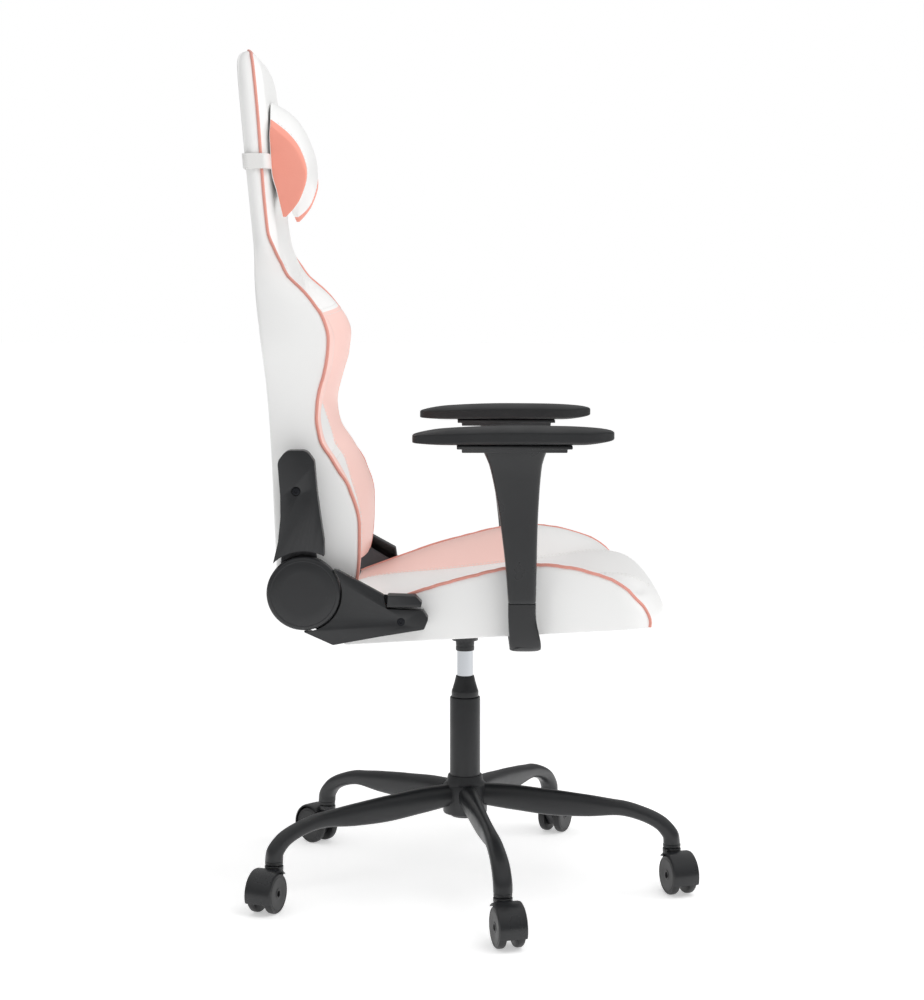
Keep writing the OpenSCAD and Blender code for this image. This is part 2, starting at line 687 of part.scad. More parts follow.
// ---------- the part ----------

base_hub();
base_leg(0);  // base_leg_1
base_leg(1);  // base_leg_2
base_leg(2);  // base_leg_3
base_leg(3);  // base_leg_4
base_leg(4);  // base_leg_5
leg_sockets();
caster_stems();
caster_housing(0);  // caster_1_housing
caster_wheel(0, 1);  // caster_1_wheel_a
caster_wheel(0, -1);  // caster_1_wheel_b
caster_housing(1);  // caster_2_housing
caster_wheel(1, 1);  // caster_2_wheel_a
caster_wheel(1, -1);  // caster_2_wheel_b
caster_housing(2);  // caster_3_housing
caster_wheel(2, 1);  // caster_3_wheel_a
caster_wheel(2, -1);  // caster_3_wheel_b
caster_housing(3);  // caster_4_housing
caster_wheel(3, 1);  // caster_4_wheel_a
caster_wheel(3, -1);  // caster_4_wheel_b
caster_housing(4);  // caster_5_housing
caster_wheel(4, 1);  // caster_5_wheel_a
caster_wheel(4, -1);  // caster_5_wheel_b
gas_cylinder();
cylinder_cap();
gas_piston();
piston_collar();
release_pin();
seat_plate();
seat_bolts();
height_lever();
height_lever_grip();
seat_frame();
seat_webbing();
seat_cushion();
seat_base_cloth();
armrest_bracket(true);  // armrest_right_bracket
armrest_post(true);  // armrest_right_post
armrest_pad(true);  // armrest_right_pad
armrest_bracket(false);  // armrest_left_bracket
armrest_post(false);  // armrest_left_post
armrest_pad(false);  // armrest_left_pad
armrest_plates();
back_frame();
back_cushion();
back_bracket(true);  // back_bracket_right
back_bracket(false);  // back_bracket_left
seat_bracket(true);  // seat_bracket_right
seat_bracket(false);  // seat_bracket_left
upper_cover(true);  // upper_cover_right
upper_cover(false);  // upper_cover_left
lower_cover(true);  // lower_cover_right
lower_cover(false);  // lower_cover_left
hinge_caps();
hinge_pins();
recline_lever();
upper_cover_screws();
lower_cover_screws();
headrest_pillow();
pillow_strap();
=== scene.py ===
"""Finished look of a gaming chair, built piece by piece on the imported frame."""

import json
import logging
import math
from collections.abc import Callable, Iterable, Sequence
from dataclasses import dataclass, field
from enum import Enum

import bmesh
import bpy
import numpy as np
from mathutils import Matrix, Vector
from mathutils.bvhtree import BVHTree


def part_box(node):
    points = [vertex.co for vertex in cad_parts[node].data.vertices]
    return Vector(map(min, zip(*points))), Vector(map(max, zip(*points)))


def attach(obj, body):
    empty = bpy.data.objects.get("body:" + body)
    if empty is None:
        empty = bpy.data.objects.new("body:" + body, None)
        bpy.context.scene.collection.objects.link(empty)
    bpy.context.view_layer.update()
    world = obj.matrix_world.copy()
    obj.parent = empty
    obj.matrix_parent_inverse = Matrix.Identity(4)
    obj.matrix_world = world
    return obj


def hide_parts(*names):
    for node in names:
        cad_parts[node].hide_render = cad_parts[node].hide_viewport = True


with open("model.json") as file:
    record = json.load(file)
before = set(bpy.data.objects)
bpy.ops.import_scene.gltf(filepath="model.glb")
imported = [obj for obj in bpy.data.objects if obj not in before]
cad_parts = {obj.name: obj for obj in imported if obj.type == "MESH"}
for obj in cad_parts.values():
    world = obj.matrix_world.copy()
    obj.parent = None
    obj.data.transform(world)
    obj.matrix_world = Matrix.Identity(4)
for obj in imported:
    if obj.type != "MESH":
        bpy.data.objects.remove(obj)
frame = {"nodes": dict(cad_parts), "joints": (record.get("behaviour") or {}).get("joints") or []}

log = logging.getLogger("gaming_chair")

Pair = tuple[float, float]
Triple = tuple[float, float, float]

MM = 0.001


# ---------------------------------------------------------------- places


def joint_place(name: str) -> Vector:
    """Place of one joint of the frame.

    Args:
        name: the joint's name in the record.

    Returns:
        The joint's position in metres.
    """
    found = next(j for j in frame["joints"] if j["name"] == name)
    return Vector(found["pos_m"])


COLUMN = joint_place("seat_swivel")
HINGE = joint_place("backrest_recline")
HINGE_FORWARD = (COLUMN.y - HINGE.y) / MM
HINGE_HEIGHT = HINGE.z / MM
HEAD_LEAN = math.radians(5.2)
SEAT_TILT = math.radians(3.05)


def spot(x: float, forward: float, height: float) -> Vector:
    """Turns chair sizes in millimetres into a place in the frame.

    Args:
        x: distance to the sitter's left of the column axis.
        forward: distance ahead of the column axis.
        height: height over the floor.

    Returns:
        The place in metres.
    """
    return Vector((COLUMN.x + x * MM, COLUMN.y - forward * MM, height * MM))


def along(points: Sequence[Pair], at: float) -> float:
    """Smooth value read off a table of (position, value) pairs.

    Args:
        points: pairs in rising order of position.
        at: the position to read.

    Returns:
        The value, on a curve without overshoot between the pairs.
    """
    xs = [p[0] for p in points]
    ys = [p[1] for p in points]
    if at <= xs[0]:
        return ys[0]
    if at >= xs[-1]:
        return ys[-1]
    i = max(k for k in range(len(xs) - 1) if xs[k] <= at)
    steps = [(ys[k + 1] - ys[k]) / (xs[k + 1] - xs[k]) for k in range(len(xs) - 1)]

    def slope(k: int) -> float:
        """Slope of the curve at pair k."""
        if k == 0 or k == len(xs) - 1:
            return steps[min(k, len(steps) - 1)]
        if steps[k - 1] * steps[k] <= 0:
            return 0.0
        return 2 * steps[k - 1] * steps[k] / (steps[k - 1] + steps[k])

    width = xs[i + 1] - xs[i]
    t = (at - xs[i]) / width
    return (
        (2 * t**3 - 3 * t**2 + 1) * ys[i]
        + (t**3 - 2 * t**2 + t) * width * slope(i)
        + (3 * t**2 - 2 * t**3) * ys[i + 1]
        + (t**3 - t**2) * width * slope(i + 1)
    )


def ease(t: float) -> float:
    """Smooth step from 0 to 1."""
    t = min(max(t, 0.0), 1.0)
    return t * t * (3 - 2 * t)


def spread(*stops: float, step: float) -> list[float]:
    """Values through every stop, about step apart.

    Args:
        stops: values that the list must hold, in order.
        step: the spacing aimed at.

    Returns:
        The values, first stop to last.
    """
    values = [stops[0]]
    for a, b in zip(stops, stops[1:]):
        count = max(1, round(abs(b - a) / step))
        values += [a + (b - a) * k / count for k in range(1, count + 1)]
    return values


# ---------------------------------------------------------------- finishes


def linear(hex_colour: str) -> tuple[float, float, float, float]:
    """Turns an sRGB hex colour into linear light.

    Args:
        hex_colour: six hex digits.

    Returns:
        Red, green, blue and alpha.
    """
    parts = [int(hex_colour[i : i + 2], 16) / 255 for i in (0, 2, 4)]
    r, g, b = (c / 12.92 if c <= 0.04045 else ((c + 0.055) / 1.055) ** 2.4 for c in parts)
    return (r, g, b, 1.0)


def add_node(
    tree: bpy.types.NodeTree,
    kind: str,
    inputs: dict[str | int, object] | None = None,
    **settings: object,
) -> bpy.types.Node:
    """Adds one node with its settings, values and links.

    Args:
        tree: the tree it goes into.
        kind: the node's type name.
        inputs: values or source sockets, by input name or number.
        settings: options of the node.

    Returns:
        The new node.
    """
    node = tree.nodes.new(kind)
    for key, value in settings.items():
        setattr(node, key, value)
    for key, value in (inputs or {}).items():
        if isinstance(value, bpy.types.NodeSocket):
            tree.links.new(value, node.inputs[key])
        else:
            node.inputs[key].default_value = value
    return node


@dataclass(frozen=True)
class Finish:
    """What every surface has: a name, a colour and a gloss."""

    name: str
    colour: str
    roughness: float
    slot: str

    def material(self) -> bpy.types.Material:
        """The finish as a material, made once."""
        ready = bpy.data.materials.get(self.name)
        if ready:
            return ready
        made = bpy.data.materials.new(self.name)
        made.use_nodes = True
        made.diffuse_color = linear(self.colour)
        tree = made.node_tree
        shader = tree.nodes["Principled BSDF"]
        shader.inputs["Roughness"].default_value = self.roughness
        shader.inputs["Base Color"].default_value = linear(self.colour)
        self.dress(tree, shader)
        return made

    def dress(self, tree: bpy.types.NodeTree, shader: bpy.types.Node) -> None:
        """Adds the nodes that this kind of surface needs."""

    def tint(
        self,
        tree: bpy.types.NodeTree,
        shader: bpy.types.Node,
        size_mm: float,
        darker: str,
        where: bpy.types.NodeSocket,
    ) -> None:
        """Lets the colour drift slightly over the surface.

        Args:
            tree: the material's tree.
            shader: its main shader.
            size_mm: size of the patches.
            darker: the colour of the darker patches.
            where: the coordinates.
        """
        drift = add_node(
            tree, "ShaderNodeTexNoise", {"Vector": where, "Scale": 1000 / size_mm, "Detail": 2.0}
        )
        mixed = add_node(
            tree,
            "ShaderNodeMix",
            {0: drift.outputs["Fac"], 6: linear(self.colour), 7: linear(darker)},
            data_type="RGBA",
        )
        tree.links.new(mixed.outputs[2], shader.inputs["Base Color"])


@dataclass(frozen=True)
class FauxLeather(Finish):
    """PU-coated knit, embossed with a pebble grain: a soft sheen with small creases."""

    shade: str = "E8E6E3"
    # the real grain is about 1.2 mm; drawn at 2.2 mm so that it shows
    grain_mm: float = 2.2
    crease_mm: float = 26.0
    shine: float = 0.3

    def dress(self, tree: bpy.types.NodeTree, shader: bpy.types.Node) -> None:
        """Pebble grain, fine creases and a slight drift of tone."""
        where = add_node(tree, "ShaderNodeTexCoord").outputs["Object"]
        self.tint(tree, shader, 60, self.shade, where)
        grain = add_node(
            tree,
            "ShaderNodeTexVoronoi",
            {"Vector": where, "Scale": 1000 / self.grain_mm, "Randomness": 0.9},
            feature="SMOOTH_F1",
        )
        crease = add_node(
            tree,
            "ShaderNodeTexNoise",
            {"Vector": where, "Scale": 1000 / self.crease_mm, "Detail": 5.0, "Distortion": 0.6},
        )
        soft = add_node(
            tree,
            "ShaderNodeBump",
            {"Height": crease.outputs["Fac"], "Strength": 0.35, "Distance": 0.0016},
        )
        pebble = add_node(
            tree,
            "ShaderNodeBump",
            {
                "Height": grain.outputs["Distance"],
                "Strength": 0.28,
                "Distance": 0.0004,
                "Normal": soft.outputs["Normal"],
            },
        )
        tree.links.new(pebble.outputs["Normal"], shader.inputs["Normal"])
        shader.inputs["IOR"].default_value = 1.4
        shader.inputs["Specular IOR Level"].default_value = self.shine


@dataclass(frozen=True)
class PowderCoat(Finish):
    """Polyester powder baked on steel tube: satin with a fine orange peel."""

    shade: str = "242527"
    peel_mm: float = 1.8
    depth: float = 0.00012

    def dress(self, tree: bpy.types.NodeTree, shader: bpy.types.Node) -> None:
        """Orange peel, and gloss that varies a little."""
        where = add_node(tree, "ShaderNodeTexCoord").outputs["Object"]
        self.tint(tree, shader, 45, self.shade, where)
        peel = add_node(
            tree,
            "ShaderNodeTexNoise",
            {"Vector": where, "Scale": 1000 / self.peel_mm, "Detail": 3.0, "Roughness": 0.6},
        )
        bump = add_node(
            tree,
            "ShaderNodeBump",
            {"Height": peel.outputs["Fac"], "Strength": 0.5, "Distance": self.depth},
        )
        tree.links.new(bump.outputs["Normal"], shader.inputs["Normal"])
        patches = add_node(
            tree, "ShaderNodeTexNoise", {"Vector": where, "Scale": 22.0, "Detail": 4.0}
        )
        gloss = add_node(
            tree,
            "ShaderNodeMapRange",
            {
                0: patches.outputs["Fac"],
                1: 0.3,
                2: 0.7,
                3: self.roughness - 0.05,
                4: self.roughness + 0.07,
            },
        )
        tree.links.new(gloss.outputs[0], shader.inputs["Roughness"])


@dataclass(frozen=True)
class MouldedPlastic(PowderCoat):
    """Injection-moulded nylon or polypropylene: spark-eroded texture, satin."""

    peel_mm: float = 1.2
    depth: float = 0.0001


@dataclass(frozen=True)
class Metal(Finish):
    """Bare or plated steel: chrome is polished, zinc is duller with faint turning marks."""

    marks_mm: float = 0.9
    marks: float = 0.00002

    def dress(self, tree: bpy.types.NodeTree, shader: bpy.types.Node) -> None:
        """Fine marks round the part, smudges in the gloss."""
        where = add_node(tree, "ShaderNodeTexCoord").outputs["Object"]
        shader.inputs["Metallic"].default_value = 1.0
        rings = add_node(
            tree,
            "ShaderNodeTexWave",
            {"Vector": where, "Scale": 1000 / self.marks_mm / 3, "Distortion": 1.5, "Detail": 2.0},
            bands_direction="Z",
        )
        bump = add_node(
            tree,
            "ShaderNodeBump",
            {"Height": rings.outputs["Fac"], "Strength": 0.3, "Distance": self.marks},
        )
        tree.links.new(bump.outputs["Normal"], shader.inputs["Normal"])
        smudge = add_node(
            tree, "ShaderNodeTexNoise", {"Vector": where, "Scale": 60.0, "Detail": 4.0}
        )
        gloss = add_node(
            tree,
            "ShaderNodeMapRange",
            {
                0: smudge.outputs["Fac"],
                1: 0.35,
                2: 0.65,
                3: self.roughness * 0.8,
                4: self.roughness * 1.4,
            },
        )
        tree.links.new(gloss.outputs[0], shader.inputs["Roughness"])


@dataclass(frozen=True)
class Woven(Finish):
    """Woven or spun-bonded textile: crossed threads with dark gaps."""

    thread_mm: float = 1.6
    shade: str = "D9D7D4"
    depth: float = 0.0003

    def dress(self, tree: bpy.types.NodeTree, shader: bpy.types.Node) -> None:
        """Crossed waves for the threads, drawn in colour and in relief."""
        where = add_node(tree, "ShaderNodeTexCoord").outputs["Object"]
        turned = add_node(
            tree, "ShaderNodeMapping", {"Vector": where, "Rotation": (0.6, 0.4, math.radians(45))}
        ).outputs["Vector"]
        # a wave repeats every 2 pi / 20 of its scale
        scale = 1000 / self.thread_mm / 3.18
        warp = add_node(
            tree, "ShaderNodeTexWave", {"Vector": turned, "Scale": scale}, bands_direction="X"
        )
        weft = add_node(
            tree, "ShaderNodeTexWave", {"Vector": turned, "Scale": scale}, bands_direction="Z"
        )
        cloth = add_node(
            tree,
            "ShaderNodeMath",
            {0: warp.outputs["Fac"], 1: weft.outputs["Fac"]},
            operation="MAXIMUM",
        )
        mixed = add_node(
            tree,
            "ShaderNodeMix",
            {0: cloth.outputs[0], 6: linear(self.shade), 7: linear(self.colour)},
            data_type="RGBA",
        )
        tree.links.new(mixed.outputs[2], shader.inputs["Base Color"])
        bump = add_node(
            tree,
            "ShaderNodeBump",
            {"Height": cloth.outputs[0], "Strength": 0.5, "Distance": self.depth},
        )
        tree.links.new(bump.outputs["Normal"], shader.inputs["Normal"])
        shader.inputs["Sheen Weight"].default_value = 0.15


WHITE_LEATHER = FauxLeather("white_faux_leather", "F6F6F5", 0.5, "white_faux_leather")
PINK_LEATHER = FauxLeather(
    "pink_faux_leather", "F3907E", 0.5, "pink_faux_leather", shade="EE8875"
)
PILLOW_PINK = FauxLeather(
    "pillow_pink_faux_leather", "F8A796", 0.5, "pink_faux_leather", shade="F39E8C"
)
PIPING_PINK = FauxLeather(
    "piping_pink_faux_leather", "E9A498", 0.4, "pink_faux_leather", shade="E29A8D", crease_mm=9.0
)
PAD_FOAM = MouldedPlastic("black_skinned_foam", "1C1D1F", 0.52, "pad_foam", shade="17181A")
FOOT_COAT = PowderCoat("black_gloss_enamel", "161719", 0.16, "powder_coated_steel", depth=0.00003)
LEG_COAT = PowderCoat("black_powder_coated_tube", "222325", 0.36, "powder_coated_steel")
FRAME_COAT = PowderCoat("grey_primed_steel", "47484B", 0.5, "frame_steel", shade="3E3F42")
BLACK_PLASTIC = MouldedPlastic("black_moulded_nylon", "1C1D1F", 0.4, "moulded_plastic")
POST_PLASTIC = MouldedPlastic("black_moulded_post", "1D1E20", 0.3, "post_plastic")
CASTER_PLASTIC = MouldedPlastic("black_caster_nylon", "1E1F21", 0.28, "caster_plastic")
TREAD_PLASTIC = MouldedPlastic(
    "black_wheel_nylon", "19191B", 0.42, "caster_plastic", shade="141516"
)
CHROME = Metal("chrome_plated_tube", "B9BCC0", 0.07, "chrome_plate")
ZINC = Metal("zinc_plated_steel", "A9ABAE", 0.3, "zinc_plated_steel", marks=0.00005)
BLACK_SCREW = Metal("black_oxide_screw", "2C2D30", 0.34, "black_screw", marks=0.00004)
STRAP_WEB = Woven("white_strap_elastic", "F1F1F0", 0.7, "strap_elastic", thread_mm=2.0)
WEBBING = Woven(
    "black_seat_webbing", "2B2B2E", 0.85, "webbing", thread_mm=2.4, shade="161618"
)
DUST_CLOTH = Woven(
    "black_spun_bonded_cloth", "242426", 0.9, "webbing", thread_mm=1.8, shade="151517", depth=0.0002
)
WHITE_THREAD = Woven("white_polyester_thread", "F6F5F3", 0.6, "white_faux_leather", thread_mm=0.8)
PALE_FLOOR = PowderCoat("pale_floor", "FAFAFA", 0.75, "floor", shade="F6F6F6", depth=0.00005)


# ---------------------------------------------------------------- mesh making


class Flank(Enum):
    """Which side of the chair, as the sign of x."""

    RIGHT = -1
    LEFT = 1

    @property
    def word(self) -> str:
        """The side's name in the frame."""
        return self.name.lower()


class Wall(Enum):
    """The six walls of a cushion's grid."""

    START = 0
    END = 1
    LOW_SIDE = 2
    HIGH_SIDE = 3
    UNDER = 4
    OVER = 5


def mesh_piece(
    name: str,
    points: Sequence[Sequence[float]],
    faces: Sequence[Sequence[int]],
    finishes: Sequence[Finish],
    paint: Sequence[int] | None = None,
    crisp: float = 35.0,
) -> bpy.types.Object:
    """Makes a smooth-shaded piece whose faces point outwards.

    Args:
        name: the piece's name.
        points: vertices in metres.
        faces: corner numbers of each face.
        finishes: the finishes on it.
        paint: for each face, the number of its finish.
        crisp: edges sharper than this many degrees stay sharp.

    Returns:
        The new object.
    """
    mesh = bpy.data.meshes.new(name)
    mesh.from_pydata([tuple(p) for p in points], [], [tuple(f) for f in faces])
    for finish in finishes:
        mesh.materials.append(finish.material())
    if paint is not None:
        mesh.polygons.foreach_set("material_index", list(paint))
    shape = bmesh.new()
    shape.from_mesh(mesh)
    bmesh.ops.recalc_face_normals(shape, faces=shape.faces)
    shape.to_mesh(mesh)
    shape.free()
    mesh.polygons.foreach_set("use_smooth", [True] * len(mesh.polygons))
    if crisp < 180:
        mesh.set_sharp_from_angle(angle=math.radians(crisp))
    piece = bpy.data.objects.new(name, mesh)
    bpy.context.scene.collection.objects.link(piece)
    return piece


def seat_on(
    piece: bpy.types.Object, body: str, finish: Finish, nodes: Iterable[str] = ()
) -> bpy.types.Object:
    """Joins a piece to its body and hides the nodes that it stands for.

    Args:
        piece: the finished piece.
        body: the body that it moves with.
        finish: not used.
        nodes: the nodes that it replaces.

    Returns:
        The same piece.
    """
    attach(piece, body)
    names = tuple(nodes)
    if names:
        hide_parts(*names)
    log.info("%s rides on %s", piece.name, body)
    return piece


def plain_copy(piece: bpy.types.Object, name: str) -> bpy.types.Object:
    """Turns a piece with its modifiers into a plain mesh piece.

    Args:
        piece: the piece, which is removed.
        name: the new piece's name.

    Returns:
        The plain piece.
    """
    graph = bpy.context.evaluated_depsgraph_get()
    mesh = bpy.data.meshes.new_from_object(piece.evaluated_get(graph), depsgraph=graph)
    bpy.data.objects.remove(piece)
    mesh.name = name
    result = bpy.data.objects.new(name, mesh)
    bpy.context.scene.collection.objects.link(result)
    return result


def loft(
    name: str, rings: Sequence[Sequence[Vector]], finish: Finish, crisp: float = 40.0
) -> bpy.types.Object:
    """Skins a row of closed rings and closes both ends.

    Args:
        name: the piece's name.
        rings: rings of equal length, in metres.
        finish: its finish.
        crisp: edges sharper than this stay sharp.

    Returns:
        The new piece.
    """
    count = len(rings[0])
    points = [p for ring in rings for p in ring]
    faces = [
        (
            r * count + i,
            r * count + (i + 1) % count,
            (r + 1) * count + (i + 1) % count,
            (r + 1) * count + i,
        )
        for r in range(len(rings) - 1)
        for i in range(count)
    ]
    faces.append(tuple(range(count)))
    faces.append(tuple((len(rings) - 1) * count + i for i in range(count)))
    return mesh_piece(name, points, faces, [finish], crisp=crisp)


def turned(
    name: str,
    profile: Sequence[Pair],
    finish: Finish,
    place: Callable[[float, float, float], Vector],
    count: int = 48,
    crisp: float = 30.0,
) -> bpy.types.Object:
    """Turns a profile about an axis, as on a lathe.

    Args:
        name: the piece's name.
        profile: (radius, distance along the axis) in millimetres.
        finish: its finish.
        place: puts (across, other across, along) millimetres in the frame.
        count: sides of the turning.
        crisp: edges sharper than this stay sharp.

    Returns:
        The new piece.
    """
    rings = []
    for radius, height in profile:
        r = max(radius, 0.02)
        rings.append(
            [
                place(
                    r * math.cos(2 * math.pi * i / count),
                    r * math.sin(2 * math.pi * i / count),
                    height,
                )
                for i in range(count)
            ]
        )
    return loft(name, rings, finish, crisp)


def upright(x: float, y: float, height: float) -> Vector:
    """A place about the column axis."""
    return spot(x, -y, height)


def oval(
    centre: Vector, wide: Vector, high: Vector, power: float = 2.0, count: int = 32
) -> list[Vector]:
    """A ring between an ellipse and a rounded box.

    Args:
        centre: its middle.
        wide: half its width, as a vector.
        high: half its height, as a vector.
        power: 2 for an ellipse, more for squarer.
        count: points on it.

    Returns:
        The ring's points.
    """
    ring = []
    for i in range(count):
        a = 2 * math.pi * i / count
        c, s = math.cos(a), math.sin(a)
        ring.append(
            centre
            + wide * math.copysign(abs(c) ** (2 / power), c)
            + high * math.copysign(abs(s) ** (2 / power), s)
        )
    return ring


def eased_node(node: str, name: str, finish: Finish, ease_mm: float) -> bpy.types.Object:
    """A copy of a frame node with its sharp edges rounded over.

    Args:
        node: the node.
        name: the new piece's name.
        finish: its finish.
        ease_mm: width of the rounding.

    Returns:
        The piece, with its rounding applied.
    """
    shape = bmesh.new()
    shape.from_mesh(frame["nodes"][node].data)
    bmesh.ops.remove_doubles(shape, verts=shape.verts, dist=1e-5)
    bmesh.ops.dissolve_limit(
        shape, angle_limit=math.radians(1.5), verts=shape.verts, edges=shape.edges
    )
    mesh = bpy.data.meshes.new(name)
    shape.to_mesh(mesh)
    shape.free()
    mesh.materials.append(finish.material())
    mesh.polygons.foreach_set("use_smooth", [True] * len(mesh.polygons))
    piece = bpy.data.objects.new(name, mesh)
    bpy.context.scene.collection.objects.link(piece)
    rounding = piece.modifiers.new("rounding", "BEVEL")
    rounding.width = ease_mm * MM
    rounding.segments = 2
    rounding.limit_method = "ANGLE"
    rounding.angle_limit = math.radians(38)
    rounding.use_clamp_overlap = True
    rounding.harden_normals = True
    result = plain_copy(piece, name)
    result.data.materials.clear()
    result.data.materials.append(finish.material())
    result.data.polygons.foreach_set("use_smooth", [True] * len(result.data.polygons))
    return result


# ---------------------------------------------------------------- repeated things


def tree_with(name: str, inputs: dict[str, str]) -> bpy.types.NodeTree:
    """Starts a geometry tree with a shape in, a shape out and named inputs.

    Args:
        name: the tree's name.
        inputs: socket type of each named input.

    Returns:
        The tree, with its two end nodes.
    """
    tree = bpy.data.node_groups.new(name, "GeometryNodeTree")
    tree.interface.new_socket("Geometry", in_out="INPUT", socket_type="NodeSocketGeometry")
    for label, kind in inputs.items():
        tree.interface.new_socket(label, in_out="INPUT", socket_type=kind)
    tree.interface.new_socket("Geometry", in_out="OUTPUT", socket_type="NodeSocketGeometry")
    add_node(tree, "NodeGroupInput", name="given")
    add_node(tree, "NodeGroupOutput", name="result")
    return tree


def end_tree(tree: bpy.types.NodeTree, shape: bpy.types.NodeSocket) -> bpy.types.NodeTree:
    """Makes instances real, gives them their finish and closes the tree.

    Args:
        tree: the tree.
        shape: the last shape in it.

    Returns:
        The same tree.
    """
    real = add_node(tree, "GeometryNodeRealizeInstances", {"Geometry": shape})
    smooth = add_node(tree, "GeometryNodeSetShadeSmooth", {"Geometry": real.outputs[0]})
    finished = add_node(
        tree,
        "GeometryNodeSetMaterial",
        {"Geometry": smooth.outputs[0], "Material": tree.nodes["given"].outputs["Material"]},
    )
    tree.links.new(finished.outputs[0], tree.nodes["result"].inputs[0])
    return tree


def piping_tree() -> bpy.types.NodeTree:
    """Tree that sweeps a round cord along the edges it is given."""
    tree = tree_with(
        "piping",
        {"Radius": "NodeSocketFloat", "Step": "NodeSocketFloat", "Material": "NodeSocketMaterial"},
    )
    given = tree.nodes["given"].outputs
    line = add_node(tree, "GeometryNodeMeshToCurve", {"Mesh": given["Geometry"]})
    even = add_node(
        tree,
        "GeometryNodeResampleCurve",
        {"Curve": line.outputs[0], "Length": given["Step"]},
        mode="LENGTH",
    )
    round_section = add_node(
        tree, "GeometryNodeCurvePrimitiveCircle", {"Resolution": 12, "Radius": given["Radius"]}
    )
    cord = add_node(
        tree,
        "GeometryNodeCurveToMesh",
        {
            "Curve": even.outputs[0],
            "Profile Curve": round_section.outputs[0],
            "Fill Caps": True,
        },
    )
    return end_tree(tree, cord.outputs[0])


def stitch_tree() -> bpy.types.NodeTree:
    """Tree that lays stitches along the edges it is given."""
    tree = tree_with(
        "stitches",
        {
            "Pitch": "NodeSocketFloat",
            "Length": "NodeSocketFloat",
            "Thread": "NodeSocketFloat",
            "Material": "NodeSocketMaterial",
        },
    )
    given = tree.nodes["given"].outputs
    line = add_node(tree, "GeometryNodeMeshToCurve", {"Mesh": given["Geometry"]})
    dots = add_node(
        tree,
        "GeometryNodeCurveToPoints",
        {"Curve": line.outputs[0], "Length": given["Pitch"]},
        mode="LENGTH",
    )
    turn = add_node(
        tree, "FunctionNodeAlignRotationToVector", {"Vector": dots.outputs["Tangent"]}, axis="Z"
    )
    size = add_node(
        tree,
        "ShaderNodeCombineXYZ",
        {"X": given["Thread"], "Y": given["Thread"], "Z": given["Length"]},
    )
    grain = add_node(tree, "GeometryNodeMeshIcoSphere", {"Radius": 0.5, "Subdivisions": 1})
    laid = add_node(
        tree,
        "GeometryNodeInstanceOnPoints",
        {
            "Points": dots.outputs["Points"],
            "Instance": grain.outputs["Mesh"],
            "Rotation": turn.outputs[0],
            "Scale": size.outputs[0],
        },
    )
    return end_tree(tree, laid.outputs[0])


def fastener_tree() -> bpy.types.NodeTree:
    """Tree that sets one fastener on every point, all turned alike."""
    tree = tree_with(
        "fasteners",
        {
            "Fastener": "NodeSocketObject",
            "Turn": "NodeSocketVector",
            "Material": "NodeSocketMaterial",
        },
    )
    given = tree.nodes["given"].outputs
    dots = add_node(tree, "GeometryNodeMeshToPoints", {"Mesh": given["Geometry"]})
    one = add_node(tree, "GeometryNodeObjectInfo", {"Object": given["Fastener"]})
    turn = add_node(tree, "FunctionNodeEulerToRotation", {0: given["Turn"]})
    laid = add_node(
        tree,
        "GeometryNodeInstanceOnPoints",
        {
            "Points": dots.outputs[0],
            "Instance": one.outputs["Geometry"],
            "Rotation": turn.outputs[0],
        },
    )
    return end_tree(tree, laid.outputs[0])


def grown(
    name: str,
    paths: Sequence[Sequence[Vector]],
    tree: bpy.types.NodeTree,
    values: dict[str, object],
    closed: bool = False,
) -> bpy.types.Object:
    """Runs a geometry tree over some paths or points and keeps the result as a mesh.

    Args:
        name: the new piece's name.
        paths: rows of places; a row of one is a point.
        tree: the tree.
        values: the tree's named inputs.
        closed: True if each path joins its own start.

    Returns:
        The new piece.
    """
    points: list[tuple[float, ...]] = []
    edges: list[tuple[int, int]] = []
    for path in paths:
        start = len(points)
        points += [tuple(p) for p in path]
        edges += [(start + i, start + i + 1) for i in range(len(path) - 1)]
        if closed:
            edges.append((len(points) - 1, start))
    mesh = bpy.data.meshes.new(name + "_path")
    mesh.from_pydata(points, edges, [])
    holder = bpy.data.objects.new(name + "_path", mesh)
    bpy.context.scene.collection.objects.link(holder)
    modifier = holder.modifiers.new("growth", "NODES")
    modifier.node_group = tree
    for item in tree.interface.items_tree:
        if item.item_type == "SOCKET" and item.in_out == "INPUT" and item.name in values:
            modifier[item.identifier] = values[item.name]
    return plain_copy(holder, name)


@dataclass
class Trees:
    """The geometry trees that the whole chair shares."""

    piping: bpy.types.NodeTree = field(default_factory=piping_tree)
    stitches: bpy.types.NodeTree = field(default_factory=stitch_tree)
    fasteners: bpy.types.NodeTree = field(default_factory=fastener_tree)


# ---------------------------------------------------------------- padded shells


